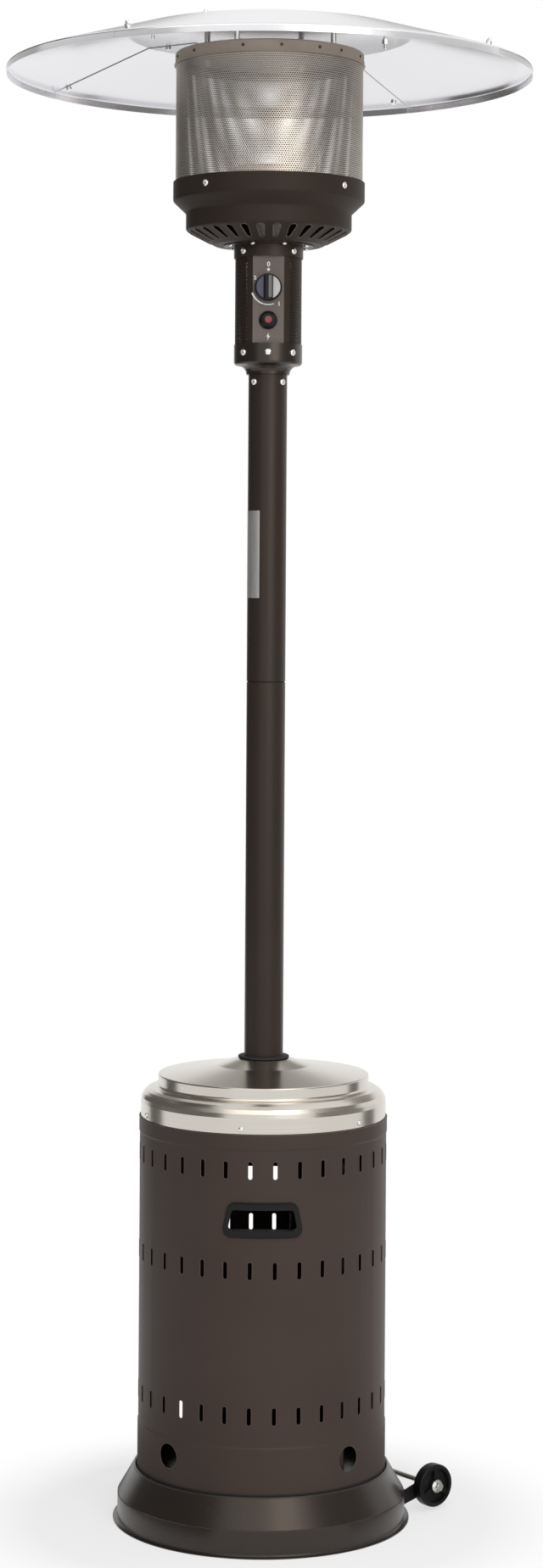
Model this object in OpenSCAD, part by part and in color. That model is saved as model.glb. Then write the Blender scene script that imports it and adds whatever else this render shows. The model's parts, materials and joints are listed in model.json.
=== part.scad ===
// Mushroom patio heater: a gas heater on a wheeled base, with a slotted cover over the
// cylinder bay, a two-piece pole, a control housing, a burner head and a panelled reflector.
// Millimetres, +Z up, origin on the floor under the pole. The control panel faces -Y.

/* [Base] */
// Height of the base to the top of its rolled rim
base_h = 83; // [70:1:120]
// Depth of the deck below the rim
deck_drop = 12; // [8:1:20]
// Height of the upright wall, from the floor to the sloping shoulder
base_wall_h = 40; // [34:1:50]
// Run of the sloping shoulder, from the rim out to the wall
shoulder_run = 24; // [16:1:40]
// Width of the floor lip outside the wall
lip_w = 7; // [6:0.5:12]
// Sheet thickness of the base
base_t = 1.5; // [1:0.1:1.8]
// Gap between the cover's foot and the rolled rim
rim_gap = 1.5; // [1:0.1:4]
// Diameter of the raised pad that a gas cylinder stands on
pad_d = 230; // [200:5:250]

/* [Tank cover] */
// Diameter of the cover's slotted wall
housing_d = 382; // [360:1:420]
// Length of the cover from the deck to the dome joint
housing_h = 551; // [520:1:620]
// Sheet thickness of the cover and the dome
housing_t = 1; // [0.8:0.1:1.4]
// How far the foot band and the top band stand out
band_step = 1; // [0.6:0.1:1.5]
// Height of the foot band
foot_band_h = 84; // [78:1:100]
// Height of the top band
top_band_h = 22; // [16:1:26]
// Number of vent slots in a row
slots_per_row = 32; // [24:1:36]
// Width of a vent slot
slot_w = 7; // [4:0.5:10]
// Height of a vent slot
slot_h = 27; // [20:1:36]
// Height of the top row of slots above the deck
top_row_h = 497; // [480:1:505]
// Height of the middle row of slots above the deck
mid_row_h = 347; // [330:1:365]
// Height of the bottom row of slots above the deck
low_row_h = 130; // [115:1:200]
// Diameter of the four round holes in the foot band
hole_d = 38; // [20:1:46]
// Height of the round holes above the deck
hole_h = 55; // [45:1:56]
// Bearing of the first round hole, from the front towards the right
hole_bearing = 43; // [40:1:50]
// Height of the hand openings above the deck
hand_h = 423; // [415:1:435]
// Width of a hand opening along its lower edge
hand_low_w = 105; // [96:1:120]
// Width of a hand opening along its upper edge
hand_top_w = 92; // [80:1:95]
// Height of a hand opening
hand_gap = 31; // [26:1:40]
// Width of the grip frame's flange beside the opening
frame_side_w = 8; // [5:0.5:12]
// Width of the grip frame's flange above and below the opening
frame_edge_w = 11; // [7:0.5:14]
// How far the grip frame stands out from the cover
frame_proud = 4; // [2.5:0.5:6]
// Depth of the grip frame's lining behind the cover
frame_depth = 14; // [8:1:15]

/* [Dome] */
// Height of the dome's upright skirt
skirt_h = 23; // [18:1:40]
// Radius of the dome's outer shoulder
shoulder_r = 21; // [14:1:26]
// Radius of the hollow between the shoulder and the upper tier
cove_r = 5; // [3:0.5:7]
// Height of the upper tier's wall above the hollow
tier_wall_h = 13; // [8:1:20]
// Rise of the upper tier's sloping top
tier_rise = 14; // [6:0.5:20]
// Diameter of the collar that rises to the pole
dome_collar_d = 148; // [120:1:180]
// Rise of that collar
dome_collar_rise = 11; // [6:0.5:16]
// Number of screws round the skirt
dome_screw_count = 6; // [3:1:8]

/* [Pole and posts] */
// Outer diameter of the pole
pole_d = 60; // [54:1:70]
// Wall of the pole
pole_t = 1.5; // [1.2:0.1:2]
// Length of the lower pole that shows
lower_pole_l = 699; // [600:1:800]
// Length of the upper pole
upper_pole_l = 475; // [400:1:600]
// Length of a pole's hidden spigot
spigot_l = 55; // [40:1:80]
// Number of support posts under the dome
post_count = 3; // [3:1:3]
// Bearing of the first support post, from the front towards the right
post_bearing = 41; // [34:1:42]
// Diameter of a support post
post_d = 25; // [18:1:27]
// Wall of a support post
post_t = 1.5; // [1.2:0.1:3]
// Bend radius of a support post
post_bend_r = 40; // [30:1:55]
// Gap between a support post and the cover
post_gap = 6; // [4:0.5:10]
// Diameter of the plate that carries the pole
flange_d = 140; // [120:1:150]
// Thickness of that plate
flange_t = 5; // [4:0.5:8]
// Distance of that plate below the dome joint
flange_drop = 32; // [28:1:45]
// Outer diameter of the gas pipe inside the pole
pipe_d = 10; // [8:0.5:14]

/* [Control housing] */
// Diameter of the cup above the pole
cup_d = 106; // [98:1:116]
// Height of the cup's wall and flare together
cup_h = 46; // [42:1:60]
// Height of the perforated wall that shows between cup and collar
screen_h = 134; // [120:1:160]
// Height of the collar under the burner bowl
collar_h = 20; // [14:1:24]
// Sheet thickness of the cup and of the perforated wall
cup_t = 1.2; // [1:0.1:1.5]
// Width of the control panel
panel_w = 48; // [44:1:54]
// Thickness of the control panel
panel_t = 2; // [1.5:0.1:3]
// Height of the knob above the panel's lower edge
knob_h = 88; // [80:1:92]
// Diameter of the control knob
knob_d = 42; // [36:1:44]
// Depth of the control knob
knob_l = 20; // [17:0.5:26]
// How far the knob can be pushed in
knob_push = 3; // [2:0.5:4]
// Height of the igniter above the panel's lower edge
igniter_h = 38; // [30:1:42]
// Diameter of the igniter's bezel
igniter_d = 28; // [24:1:30]
// Diameter of the igniter's button
button_d = 11.5; // [9:0.5:13]
// How far the button can be pushed in
button_push = 6; // [4:0.5:7]

/* [Burner head] */
// Diameter of the emitter's perforated wall
emitter_d = 290; // [270:1:320]
// Height of the emitter that shows between bowl and cap
emitter_h = 181; // [150:1:220]
// Height of the cap's skirt
cap_skirt_h = 19; // [14:1:24]
// Height of the bowl's upper ring
ring_h = 29; // [24:1:40]
// Height of the flare between the ring and the bowl's wall
flare_h = 19; // [15:1:26]
// Inset of the bowl's wall from its ring
flare_run = 20; // [14:1:28]
// Height of the bowl's wall
bowl_wall_h = 26; // [20:1:40]
// Height of the slotted cone
cone_h = 23; // [18:1:34]
// Diameter of the bowl's flat floor
bowl_floor_d = 168; // [156:1:180]
// Number of radial air slots
air_slot_count = 30; // [20:1:34]
// Width of an air slot at its outer end
air_slot_outer_w = 12; // [8:0.5:13]
// Width of an air slot at its inner end
air_slot_inner_w = 7; // [4:0.5:8]
// Sheet thickness of the bowl, its deck and the cap
bowl_t = 1.2; // [1:0.1:1.5]
// Diameter of the burner cup
burner_d = 120; // [100:1:140]
// Height of the burner cup
burner_h = 46; // [36:1:60]

/* [Reflector] */
// Outer diameter of the reflector
reflector_d = 815; // [740:1:900]
// Diameter of its flat centre
flat_d = 440; // [420:1:460]
// Rise from the rim to the flat centre
reflector_rise = 54; // [44:1:66]
// Depth of the turned-down rim
rim_h = 11; // [8:0.5:16]
// Sheet thickness of a panel
panel_sheet_t = 1; // [0.8:0.1:1.2]
// Number of panels
panel_count = 4; // [4:1:4]
// Width of the lap at a seam
lap_w = 16; // [14:1:20]
// Bearing of the first seam, counted from +X towards +Y
seam_bearing = 56.5; // [50:0.5:60]
// Height of the reflector's flat centre above the emitter cap
standoff_l = 28; // [24:1:40]
// Distance of the standoffs from the axis
standoff_r = 110; // [100:1:112]
// Diameter of a standoff
standoff_d = 9; // [7:0.5:11]
// Distance of the outer seam bolts from the axis
outer_bolt_r = 384; // [370:1:390]
// Distance of the inner seam bolts from the axis
inner_bolt_r = 187; // [180:1:192]
// Distance of the hanging hub bolts from the axis
hub_bolt_r = 184; // [176:1:190]

/* [Wheels] */
// Diameter of a wheel
wheel_d = 66; // [56:1:72]
// Width of a wheel's tread
wheel_w = 18; // [14:1:26]
// Height of the wheels above the floor while the heater stands
wheel_lift = 4; // [3:0.5:8]
// Distance between the wheels' middle planes
track = 268; // [240:1:290]
// Distance of the axle outside the base wall
axle_out = 14; // [12:0.5:24]
// Diameter of the axle
axle_d = 9; // [7:0.5:11]
// Bearing of the wheel bracket, counted from +X towards +Y
wheel_bearing = 38; // [30:1:44]

/* [Hidden] */
$fn = 96;

// Clearances: fixed fit, running fit of a shaft, lengthwise gap at a seat, sliding cover
fit_gap = 0.2;
run_gap = 0.06;
seat_gap = 0.1;
slide_gap = 0.4;
// How far a cutting shape runs past the faces that it cuts
past = 1;
// Segments of a rounded corner in a profile
corner_steps = 5;
// Share of a bend's radius that is kept where two bends follow each other
bend_share = 0.98;

// Finishes
bronze = [0.27, 0.235, 0.22];
panel_grey = [0.33, 0.30, 0.28];
steel = [0.74, 0.72, 0.69];
bright = [0.86, 0.86, 0.87];
zinc = [0.8, 0.8, 0.82];
black = [0.06, 0.06, 0.065];
brass = [0.72, 0.58, 0.28];
red = [0.75, 0.08, 0.06];

// Screw sizes: [head diameter, head height, shank diameter]
small_screw = [7.5, 2.6, 4];
large_screw = [10.2, 3.4, 5];
// Outline of a screw's head, as shares of its radius and height
pan_profile = [[0, 0], [1, 0], [1, 0.4], [0.75, 0.85], [0.4, 1], [0, 1]];
// Width and height of a bolt's head and nut, as shares of the bolt's diameter
hex_width = 1.9;
hex_height = 0.65;
// How far a screw or a bolt stands out behind what it holds
screw_past = 3;
hole_play = 0.5;
hole_reach = 8;

// Tank cover and base radii
housing_r = housing_d / 2;
band_r = housing_r + band_step;
rim_fold_r = 2.4;
rim_inner_r = band_r + rim_gap;
rim_outer_r = rim_inner_r + 2 * rim_fold_r;
base_wall_r = rim_outer_r + shoulder_run;
base_r = base_wall_r + lip_w;
lip_fold_r = 3.5;
base_shoulder_r = 6;
deck_z = base_h - deck_drop;
pad_h = 3;
pad_slope = 4;

// Cover, dome and grip frames
housing_z = deck_z + seat_gap;
dome_z = housing_z + housing_h;
band_slope = 3;
neck_in = 2.6;
neck_up = 14;
cover_neck_r = band_r - neck_in - housing_t;
dome_r = cover_neck_r + fit_gap + housing_t;
cove_flat = 0.7;
tier_r = dome_r - shoulder_r - cove_r - cove_flat;
tier_edge_r = 2;
dome_collar_bend_r = 4;
cove_z = dome_z + skirt_h + shoulder_r;
tier_z = cove_z + cove_r + tier_wall_h + tier_edge_r;
tier_top = tier_z + tier_rise;
dome_top = tier_top + dome_collar_rise;
slot_row_heights = [top_row_h, mid_row_h, low_row_h];
round_hole_count = 4;
frame_lining_t = 2.5;
frame_corner_r = 5;
frame_outer_corner_r = 13;
frame_soften = 2;
hand_reach = 40;
hand_lean = (hand_low_w - hand_top_w) / 2 / hand_gap;
dome_screw_h = 7;
dome_screw_bearing = -10;

// Pole, its plate and the posts
pole_r = pole_d / 2;
pole_bore_r = pole_r - pole_t;
spigot_r = pole_bore_r - fit_gap;
spigot_t = 2;
flange_z = dome_z - flange_drop;
pole_z = flange_z + flange_t + seat_gap;
joint_z = pole_z + lower_pole_l;
joint_groove = 2;
upper_pole_z = joint_z + seat_gap;
pole_top = upper_pole_z + upper_pole_l;
pole_screw_count = 4;
pole_foot_screw_h = 25;
pole_foot_screw_bearing = 45;
grommet_t = 6;
grommet_r = pole_r + slide_gap + grommet_t;
grommet_lip = 3;
grommet_lip_h = 3;
grommet_top_h = 4;
grommet_below = 9;
grommet_round = 1.4;
dome_hole_r = grommet_r + fit_gap;
post_bearings = [for (k = [0 : post_count - 1]) post_bearing + k * 360 / post_count];
post_r = housing_r - housing_t - post_gap - post_d / 2;
foot_t = 3;
foot_reach = 34;
foot_bolt_reach = 24;
foot_w = 30;
tab_t = 5;
tab_w = 22;
tab_grip = 8;
flange_bolt_inset = 18;
flange_bolt_r = flange_d / 2 - flange_bolt_inset;
arm_gap = 3;
arm_end_r = flange_d / 2 + arm_gap;
arm_z = flange_z - tab_t / 2 - seat_gap;
post_bolt_d = 6;
flange_bolt_d = 8;

// Gas inlet under the pole's plate
pipe_r = pipe_d / 2;
pipe_wall = 1;
inlet_neck_wall = 3.6;
inlet_neck_r = pipe_r + inlet_neck_wall;
inlet_hex_d = 26;
inlet_hex_h = 22;
inlet_stub_d = 15.9;
inlet_stub_l = 21;
inlet_lock_h = 6;
pipe_seat = 14;
pipe_z = flange_z - pipe_seat;

// Control housing levels and radii
cup_r = cup_d / 2;
neck_lip = 3.5;
neck_flare_r = 14;
cup_corner_r = cup_r - pole_r - neck_lip - neck_flare_r;
neck_screw_drop = 12;
neck_screw_bearing = 47;
cup_top = pole_top + seat_gap + cup_h;
collar_z = cup_top + screen_h;
bowl_z = collar_z + collar_h + seat_gap;
screen_r = cup_r - cup_t - fit_gap;
screen_lap = 8;
collar_t = 2;
collar_r = screen_r + fit_gap + collar_t;
collar_flange_t = 1.5;
collar_flange_inset = 14;
collar_flange_r = bowl_floor_d / 2 - collar_flange_inset;
collar_inner_r = 40;
panel_tuck = 3;
panel_z = cup_top - panel_tuck;
panel_len = screen_h + 2 * panel_tuck;
panel_front = sqrt(pow(screen_r, 2) - pow(panel_w / 2, 2));
panel_back = panel_front - panel_t;
panel_return = 6;
cup_screw_drop = 14;
collar_screw_h = 8.5;
housing_screw_bearing = 45;
rear_screw_bearing = 135;

// Gas valve, knob and igniter, as distances in front of the axis
knob_z = panel_z + knob_h;
stem_d = 8;
plug_d = 16;
plug_l = 26;
valve_w = 32;
valve_low = 20;
valve_high = 24;
valve_back = 14;
valve_boss_l = 8;
valve_front = panel_back - valve_boss_l;
valve_boss_d = 26;
valve_port_d = 18;
valve_port_l = 16;
valve_outlet_d = 14;
valve_outlet_wall = 3;
valve_outlet_l = 12;
plug_inset = 2;
plug_front = valve_front - plug_inset;
plug_floor = 3;
stem_room = 1;
stem_play = 1;
stem_hole_play = 2;
stem_back = plug_front - plug_l + plug_floor + stem_room + knob_push;
knob_gap = 1.5;
knob_back = panel_front + knob_push + knob_gap;
knob_skirt_l = 8;
knob_grip_w = 13.5;
knob_grip_inset = 1.5;
knob_round = 2;
knob_draft = 0.5;
knob_grip_draft = 1;
knob_rim_w = 5;
knob_dish = 1;
stem_grip = 11;
igniter_z = panel_z + igniter_h;
bezel_l = 9;
bezel_edge_h = 3;
bezel_edge_round = 1;
bezel_mouth_w = 3.6;
bezel_mouth_round = 2;
button_round = 1.5;
button_seat = 4;
piezo_floor = 1;
button_show = 7.5;
button_front = panel_front + bezel_l + button_show;
button_back = panel_back - button_seat;
piezo_d = 17;
piezo_l = 26;
piezo_back = panel_back - piezo_l;
switch_w = 22;
switch_l = 12;
switch_h = 30;

// Burner head levels and radii
emitter_r = emitter_d / 2;
screen_t = 0.8;
foot_flange_w = 2.2;
emitter_foot_drop = 2;
ring_inner_r = emitter_r + foot_flange_w + fit_gap;
ring_r = ring_inner_r + bowl_t;
bowl_wall_r = ring_r - flare_run;
bowl_floor_r = bowl_floor_d / 2;
cone_top = bowl_z + cone_h;
flare_z = cone_top + bowl_wall_h;
ring_z = flare_z + flare_h;
bowl_top = ring_z + ring_h;
bowl_bend_r = 5;
deck_lift = 6;
burner_deck_z = ring_z + deck_lift;
tube_r = 28;
tube_low_r = valve_outlet_d / 2 + fit_gap + bowl_t;
tube_z = knob_z + valve_high + seat_gap;
tube_taper = 24;
tube_bend_r = 2;
bowl_screw_count = 8;
bowl_screw_inset = 7;
bowl_screw_r = collar_flange_r - bowl_screw_inset;
ring_screw_count = 4;
ring_screw_bearing = -40;
emitter_z = burner_deck_z + bowl_t + seat_gap;
cap_z = bowl_top + emitter_h + cap_skirt_h;
cap_r = emitter_r + fit_gap + bowl_t;
cap_lip = 1.8;
cap_corner_r = 3;
rivet = [5, 1.4, 3];
// Bearings of the rivets at the front, the others follow evenly round the back
rivet_front = [-52, -16, 7, 31, 48];
rivet_rear_count = 10;
rivet_past = 1;
air_slot_in_inset = 12;
air_slot_out_inset = 10;
air_slot_in_r = bowl_floor_r + air_slot_in_inset;
air_slot_out_r = bowl_wall_r - air_slot_out_inset;
burner_r = burner_d / 2;
burner_hole_count = 24;
burner_hole_d = 7;
burner_hole_rows = [0.35, 0.65];
burner_foot_w = 6;
burner_round = 8;
pilot_gap = 14;
pilot_r = burner_r + pilot_gap;
pilot_foot = [10, 32, 2];
// Pilot tube, spark rod and flame sensor: [offset, diameter, height]
pilot_rods = [[0, 7, 34], [-11, 4, 52], [11, 5, 46]];

// Reflector levels and slopes
reflector_r = reflector_d / 2;
reflector_edge_r = reflector_r - panel_sheet_t;
flat_r = flat_d / 2;
flat_z = cap_z + standoff_l;
edge_z = flat_z - reflector_rise;
slope = atan(reflector_rise / (reflector_edge_r - flat_r));
panel_inner_r = 52;
seam_play = 0.03;
lap_gap = 0.1;
lap_bridge = 6;
lap_bite = 1;
lap_mid = lap_w / 2;
lap_sweep = 24;
lap_inset = 20;
lap_start = standoff_r + lap_inset;
rim_bend_r = 3;
flat_bend_r = 20;
hub_inset = 15;
hub_r = flat_r - hub_inset;
hub_t = 1.2;
hub_z = flat_z + panel_sheet_t + seat_gap;
// Bolt seats over the hub plate and under a lap, counted from the panels' lower face
hub_top = panel_sheet_t + 2 * seat_gap + hub_t;
lap_bottom = -panel_sheet_t - 2 * lap_gap;
standoff_from_seam = 6.5;
standoff_bearing = seam_bearing + standoff_from_seam;
stud_d = 6;
stud_above = 16;
stud_below = 9;
nut_h = 5;
nut_d = 11.5;
seam_bolt_d = 5;
seam_head_d = 9;
seam_head_h = 3;
hub_bolt_hang = 12;
hub_nut_d = 9.2;
hub_nut_h = 4;
wing_hub_d = 9;
wing_hub_h = 6;
wing_span = 24;
wing_rise = 8;
wing_t = 2;
wing_foot = 1;
wing_lean = 3;
wing_tip = 6;
wing_round = 1;
// Turn of the outer and the inner wing nut of each seam
wing_turns = [[40, 60], [35, 110], [48, 20], [136, 110]];
stud_wing_scale = 1.8;
stud_wing_turn = 54;
stud_face_d = 18;
stud_face_h = 2;

// Wheels and their bracket
wheel_r = wheel_d / 2;
axle_r = axle_d / 2;
axle_x = base_wall_r + axle_out;
axle_z = wheel_r + wheel_lift;
ear_t = 3;
wheel_gap = 0.5;
ear_face = track / 2 - wheel_w / 2 - wheel_gap;
ear_boss_w = 8;
ear_boss_r = axle_r + ear_boss_w;
strap_t = 3;
strap_low = 12;
strap_high = 33;
strap_r = base_wall_r + fit_gap + strap_t;
strap_half = asin((ear_face - ear_t / 2) / strap_r);
strap_bolt_shares = [-0.72, -0.28, 0.28, 0.72];
bracket_bolt_d = 6;
axle_washer_d = 20;
axle_washer_t = 1.5;
axle_nut_d = 15;
axle_nut_h = 6;
axle_past = 0.5;
nut_face = track / 2 + wheel_w / 2 + wheel_gap;
spoke_count = 3;
spoke_w = 7;
spoke_lap = 1;
tyre_depth = 7;
tread_round = 3;
wheel_hub_w = 6;
wheel_hub_r = axle_r + wheel_hub_w;
dish_depth = 5;
dish_draft = 1;

// Profile helpers
function unit(v) = v / norm(v);
function left_of(p, q) = let (d = unit(q - p)) [-d[1], d[0]];
function last(v) = len(v) - 1;

// Arc that rounds the corner b between a and c
function corner_arc(a, b, c, r) =
    let (
        u = unit(a - b),
        v = unit(c - b),
        half = acos(u * v) / 2,
        middle = b + unit(u + v) * r / sin(half),
        first = b + u * r / tan(half) - middle,
        other = b + v * r / tan(half) - middle,
        start = atan2(first[1], first[0]),
        sweep = (atan2(other[1], other[0]) - start + 540) % 360 - 180
    )
    [for (i = [0 : corner_steps])
        let (angle = start + sweep * i / corner_steps)
        middle + r * [cos(angle), sin(angle)]];

// Open line through corners given as [x, y, corner radius]
function rounded_line(c) = [
    for (i = [0 : last(c)])
    let (p = [c[i][0], c[i][1]])
    each (i == 0 || i == last(c) || c[i][2] == 0)
        ? [p]
        : corner_arc([c[i - 1][0], c[i - 1][1]], p, [c[i + 1][0], c[i + 1][1]], c[i][2])
];

// Closed outline with every corner rounded alike
function rounded_loop(p, r) = [
    for (i = [0 : last(p)])
    each corner_arc(p[(i + last(p)) % len(p)], p[i], p[(i + 1) % len(p)], r)
];

// The line moved to its left by t, with mitred corners
function moved_left(p, t) = [
    for (i = [0 : last(p)])
    let (
        before = left_of(p[max(i, 1) - 1], p[max(i, 1)]),
        after = left_of(p[min(i, last(p) - 1)], p[min(i, last(p) - 1) + 1])
    )
    p[i] + t * (before + after) / (1 + before * after)
];

// Closed outline of a sheet between the line moved left by low and by high
function sheet(p, low, high) =
    let (a = moved_left(p, low), b = moved_left(p, high))
    concat(a, [for (i = [last(b) : -1 : 0]) b[i]]);

module spun_sheet(corners, t) {
    rotate_extrude() polygon(sheet(rounded_line(corners), 0, t));
}

// Placing helpers: a bearing counts from the front towards the right
module at_bearing(bearing) {
    rotate([0, 0, bearing - 90]) children();
}

module ring_of(count, first_bearing) {
    for (k = [0 : count - 1]) at_bearing(first_bearing + k * 360 / count) children();
}

module outward(r, z) {
    translate([r, 0, z]) rotate([0, 90, 0]) children();
}

module forward(distance, z) {
    translate([0, -distance, z]) rotate([90, 0, 0]) children();
}

// Fasteners
module tube(r, bore, h) {
    difference() {
        cylinder(r = r, h = h);
        translate([0, 0, -past]) cylinder(r = bore, h = h + 2 * past);
    }
}

// Round-headed screw, head above z = 0 and shank below
module pan_screw(size, grip) {
    head_r = size[0] / 2;
    head_h = size[1];
    rotate_extrude() polygon([for (p = pan_profile) [p[0] * head_r, p[1] * head_h]]);
    translate([0, 0, -grip]) cylinder(d = size[2], h = grip + head_h / 2);
}

// Hexagon bolt with its nut, clamping from z = 0 down to z = -grip
module hex_bolt(d, grip) {
    hex_d = hex_width * d;
    hex_h = hex_height * d;
    translate([0, 0, seat_gap]) cylinder(d = hex_d, h = hex_h, $fn = 6);
    translate([0, 0, -grip - seat_gap - hex_h]) cylinder(d = hex_d, h = hex_h, $fn = 6);
    translate([0, 0, -grip - hex_h - screw_past]) cylinder(d = d, h = grip + 2 * hex_h + screw_past);
}

module bolt_hole(d) {
    cylinder(d = d + hole_play, h = 2 * hole_reach, center = true);
}

module screw_hole(size) {
    bolt_hole(size[2]);
}

// Places shared by holes and the fasteners in them
module at_posts() {
    for (bearing = post_bearings) at_bearing(bearing) children();
}

module at_bracket() {
    rotate([0, 0, wheel_bearing]) children();
}

module at_strap_bolts() {
    at_bracket()
        for (share = strap_bolt_shares)
            rotate([0, 0, share * strap_half]) outward(strap_r, (strap_low + strap_high) / 2) children();
}

module at_dome_screws() {
    ring_of(dome_screw_count, dome_screw_bearing) outward(dome_r, dome_z + dome_screw_h) children();
}

module at_pole_foot_screws() {
    ring_of(pole_screw_count, pole_foot_screw_bearing)
        outward(pole_r, pole_z + pole_foot_screw_h) children();
}

module at_neck_screws() {
    ring_of(pole_screw_count, neck_screw_bearing)
        outward(pole_r, pole_top - neck_screw_drop) children();
}

module at_cup_screws() {
    front = [-housing_screw_bearing, 0, housing_screw_bearing];
    for (bearing = concat(front, [rear_screw_bearing, -rear_screw_bearing]))
        at_bearing(bearing) outward(cup_r, cup_top - cup_screw_drop) children();
}

module at_collar_screws() {
    for (bearing = [-housing_screw_bearing, housing_screw_bearing, rear_screw_bearing, -rear_screw_bearing])
        at_bearing(bearing) outward(collar_r, collar_z + collar_screw_h) children();
}

module at_bowl_floor_screws() {
    ring_of(bowl_screw_count, 180 / bowl_screw_count)
        translate([bowl_screw_r, 0, bowl_z - collar_flange_t - seat_gap]) rotate([180, 0, 0]) children();
}

module at_ring_screws() {
    ring_of(ring_screw_count, ring_screw_bearing) outward(ring_r, ring_z + ring_h / 2) children();
}

module at_cap_rivets() {
    last = rivet_front[len(rivet_front) - 1];
    step = (360 + rivet_front[0] - last) / (rivet_rear_count + 1);
    rear = [for (k = [1 : rivet_rear_count]) last + k * step];
    for (bearing = concat(rivet_front, rear))
        at_bearing(bearing) outward(cap_r, cap_z - cap_skirt_h / 2) children();
}

module at_standoffs() {
    for (k = [0 : panel_count - 1])
        rotate([0, 0, standoff_bearing + k * 360 / panel_count])
            translate([standoff_r, 0, 0]) children();
}

module at_post_feet() {
    at_posts() translate([post_r - foot_bolt_reach, 0, deck_z]) children();
}

module at_flange_bolts() {
    at_posts() translate([flange_bolt_r, 0, flange_z]) children();
}

// Seat of a seam bolt in the frame whose X axis runs along the seam, on the lap's middle line
module on_lap(r) {
    beyond = norm([r, lap_mid]) - flat_r;
    translate([r, lap_mid, flat_z - max(beyond, 0) * tan(slope)])
        rotate([0, beyond > 0 ? slope : 0, 0]) children();
}

module at_seams() {
    for ($seam = [0 : panel_count - 1])
        rotate([0, 0, seam_bearing + $seam * 360 / panel_count]) children();
}

// Seat of a hub bolt under the middle of each panel
module at_hub_bolts() {
    for (k = [0 : panel_count - 1])
        rotate([0, 0, seam_bearing + (k + 0.5) * 360 / panel_count])
            translate([hub_bolt_r, 0, flat_z]) children();
}

// Base and wheels
module base() {
    color(bronze)
    difference() {
        spun_sheet([
            [base_r, base_t, 0],
            [base_wall_r, base_t, lip_fold_r],
            [base_wall_r, base_wall_h, base_shoulder_r],
            [rim_outer_r, base_h - rim_fold_r, 0],
            [rim_outer_r, base_h, rim_fold_r * bend_share],
            [rim_inner_r, base_h, rim_fold_r * bend_share],
            [rim_inner_r, deck_z, 0],
            [pad_d / 2 + pad_slope, deck_z, 0],
            [pad_d / 2, deck_z + pad_h, 0],
            [0, deck_z + pad_h, 0]
        ], base_t);
        at_post_feet() bolt_hole(post_bolt_d);
        at_strap_bolts() bolt_hole(bracket_bolt_d);
    }
}

module ear_outline() {
    translate([axle_x, axle_z]) circle(r = ear_boss_r);
    polygon([
        [base_wall_r * cos(strap_half) - strap_t, strap_low],
        [axle_x, axle_z - ear_boss_r],
        [axle_x, axle_z + ear_boss_r],
        [base_wall_r * cos(strap_half) - strap_t, strap_high]
    ]);
}

module wheel_bracket() {
    color(black) at_bracket()
    difference() {
        union() {
            rotate([0, 0, -strap_half])
                rotate_extrude(angle = 2 * strap_half)
                    translate([strap_r - strap_t, strap_low])
                        square([strap_t, strap_high - strap_low]);
            for (side = [-1, 1])
                translate([0, side * (ear_face - ear_t / 2) + ear_t / 2, 0])
                    rotate([90, 0, 0]) linear_extrude(ear_t) ear_outline();
        }
        cylinder(r = base_wall_r + fit_gap, h = base_h);
        translate([axle_x, track / 2, axle_z])
            rotate([90, 0, 0]) cylinder(r = axle_r + run_gap, h = track);
        rotate([0, 0, -wheel_bearing]) at_strap_bolts() bolt_hole(bracket_bolt_d);
    }
}

module bracket_bolts() {
    color(zinc) at_strap_bolts() hex_bolt(bracket_bolt_d, strap_t + fit_gap + base_t);
}

module wheel_axle() {
    reach = nut_face + axle_washer_t + axle_nut_h + axle_past;
    color(zinc) at_bracket()
        translate([axle_x, reach, axle_z]) rotate([90, 0, 0]) cylinder(r = axle_r, h = 2 * reach);
}

module axle_nuts() {
    color(zinc) at_bracket()
    for (side = [-1, 1])
        translate([axle_x, side * nut_face, axle_z])
            rotate([-90 * side, 0, 0])
                difference() {
                    union() {
                        cylinder(d = axle_washer_d, h = axle_washer_t);
                        cylinder(d = axle_nut_d, h = axle_washer_t + axle_nut_h, $fn = 6);
                    }
                    translate([0, 0, -past])
                        cylinder(r = axle_r + run_gap, h = axle_washer_t + axle_nut_h + 2 * past);
                }
}

// Wheel on the axle, with its dished face and spokes outwards
module wheel(side) {
    face = wheel_w / 2;
    tread_r = wheel_r - tyre_depth;
    color(black) at_bracket()
    translate([axle_x, side * track / 2, axle_z]) rotate([-90 * side, 0, 0]) {
        rotate_extrude()
            polygon(rounded_line([
                [axle_r + run_gap, -face, 0],
                [wheel_r, -face, tread_round],
                [wheel_r, face, tread_round],
                [tread_r, face, 0],
                [tread_r - dish_draft, face - dish_depth, 0],
                [wheel_hub_r + dish_draft, face - dish_depth, 0],
                [wheel_hub_r, face, 0],
                [axle_r + run_gap, face, 0]
            ]));
        for (k = [0 : spoke_count - 1])
            rotate([0, 0, 90 + k * 360 / spoke_count])
                translate([wheel_hub_r - spoke_lap, -spoke_w / 2, 0])
                    cube([tread_r - wheel_hub_r + 2 * spoke_lap, spoke_w, face - dish_draft]);
    }
}

module near_wheel() {
    wheel(-1);
}

module far_wheel() {
    wheel(1);
}

// Support posts and pole
module post_sweep(d) {
    translate([post_r, 0, deck_z + foot_t])
        cylinder(d = d, h = arm_z - post_bend_r - deck_z - foot_t);
    translate([post_r - post_bend_r, 0, arm_z - post_bend_r])
        rotate([90, 0, 0]) rotate_extrude(angle = 90) translate([post_bend_r, 0]) circle(d = d);
    translate([arm_end_r, 0, arm_z])
        rotate([0, 90, 0]) cylinder(d = d, h = post_r - post_bend_r - arm_end_r);
}

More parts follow.
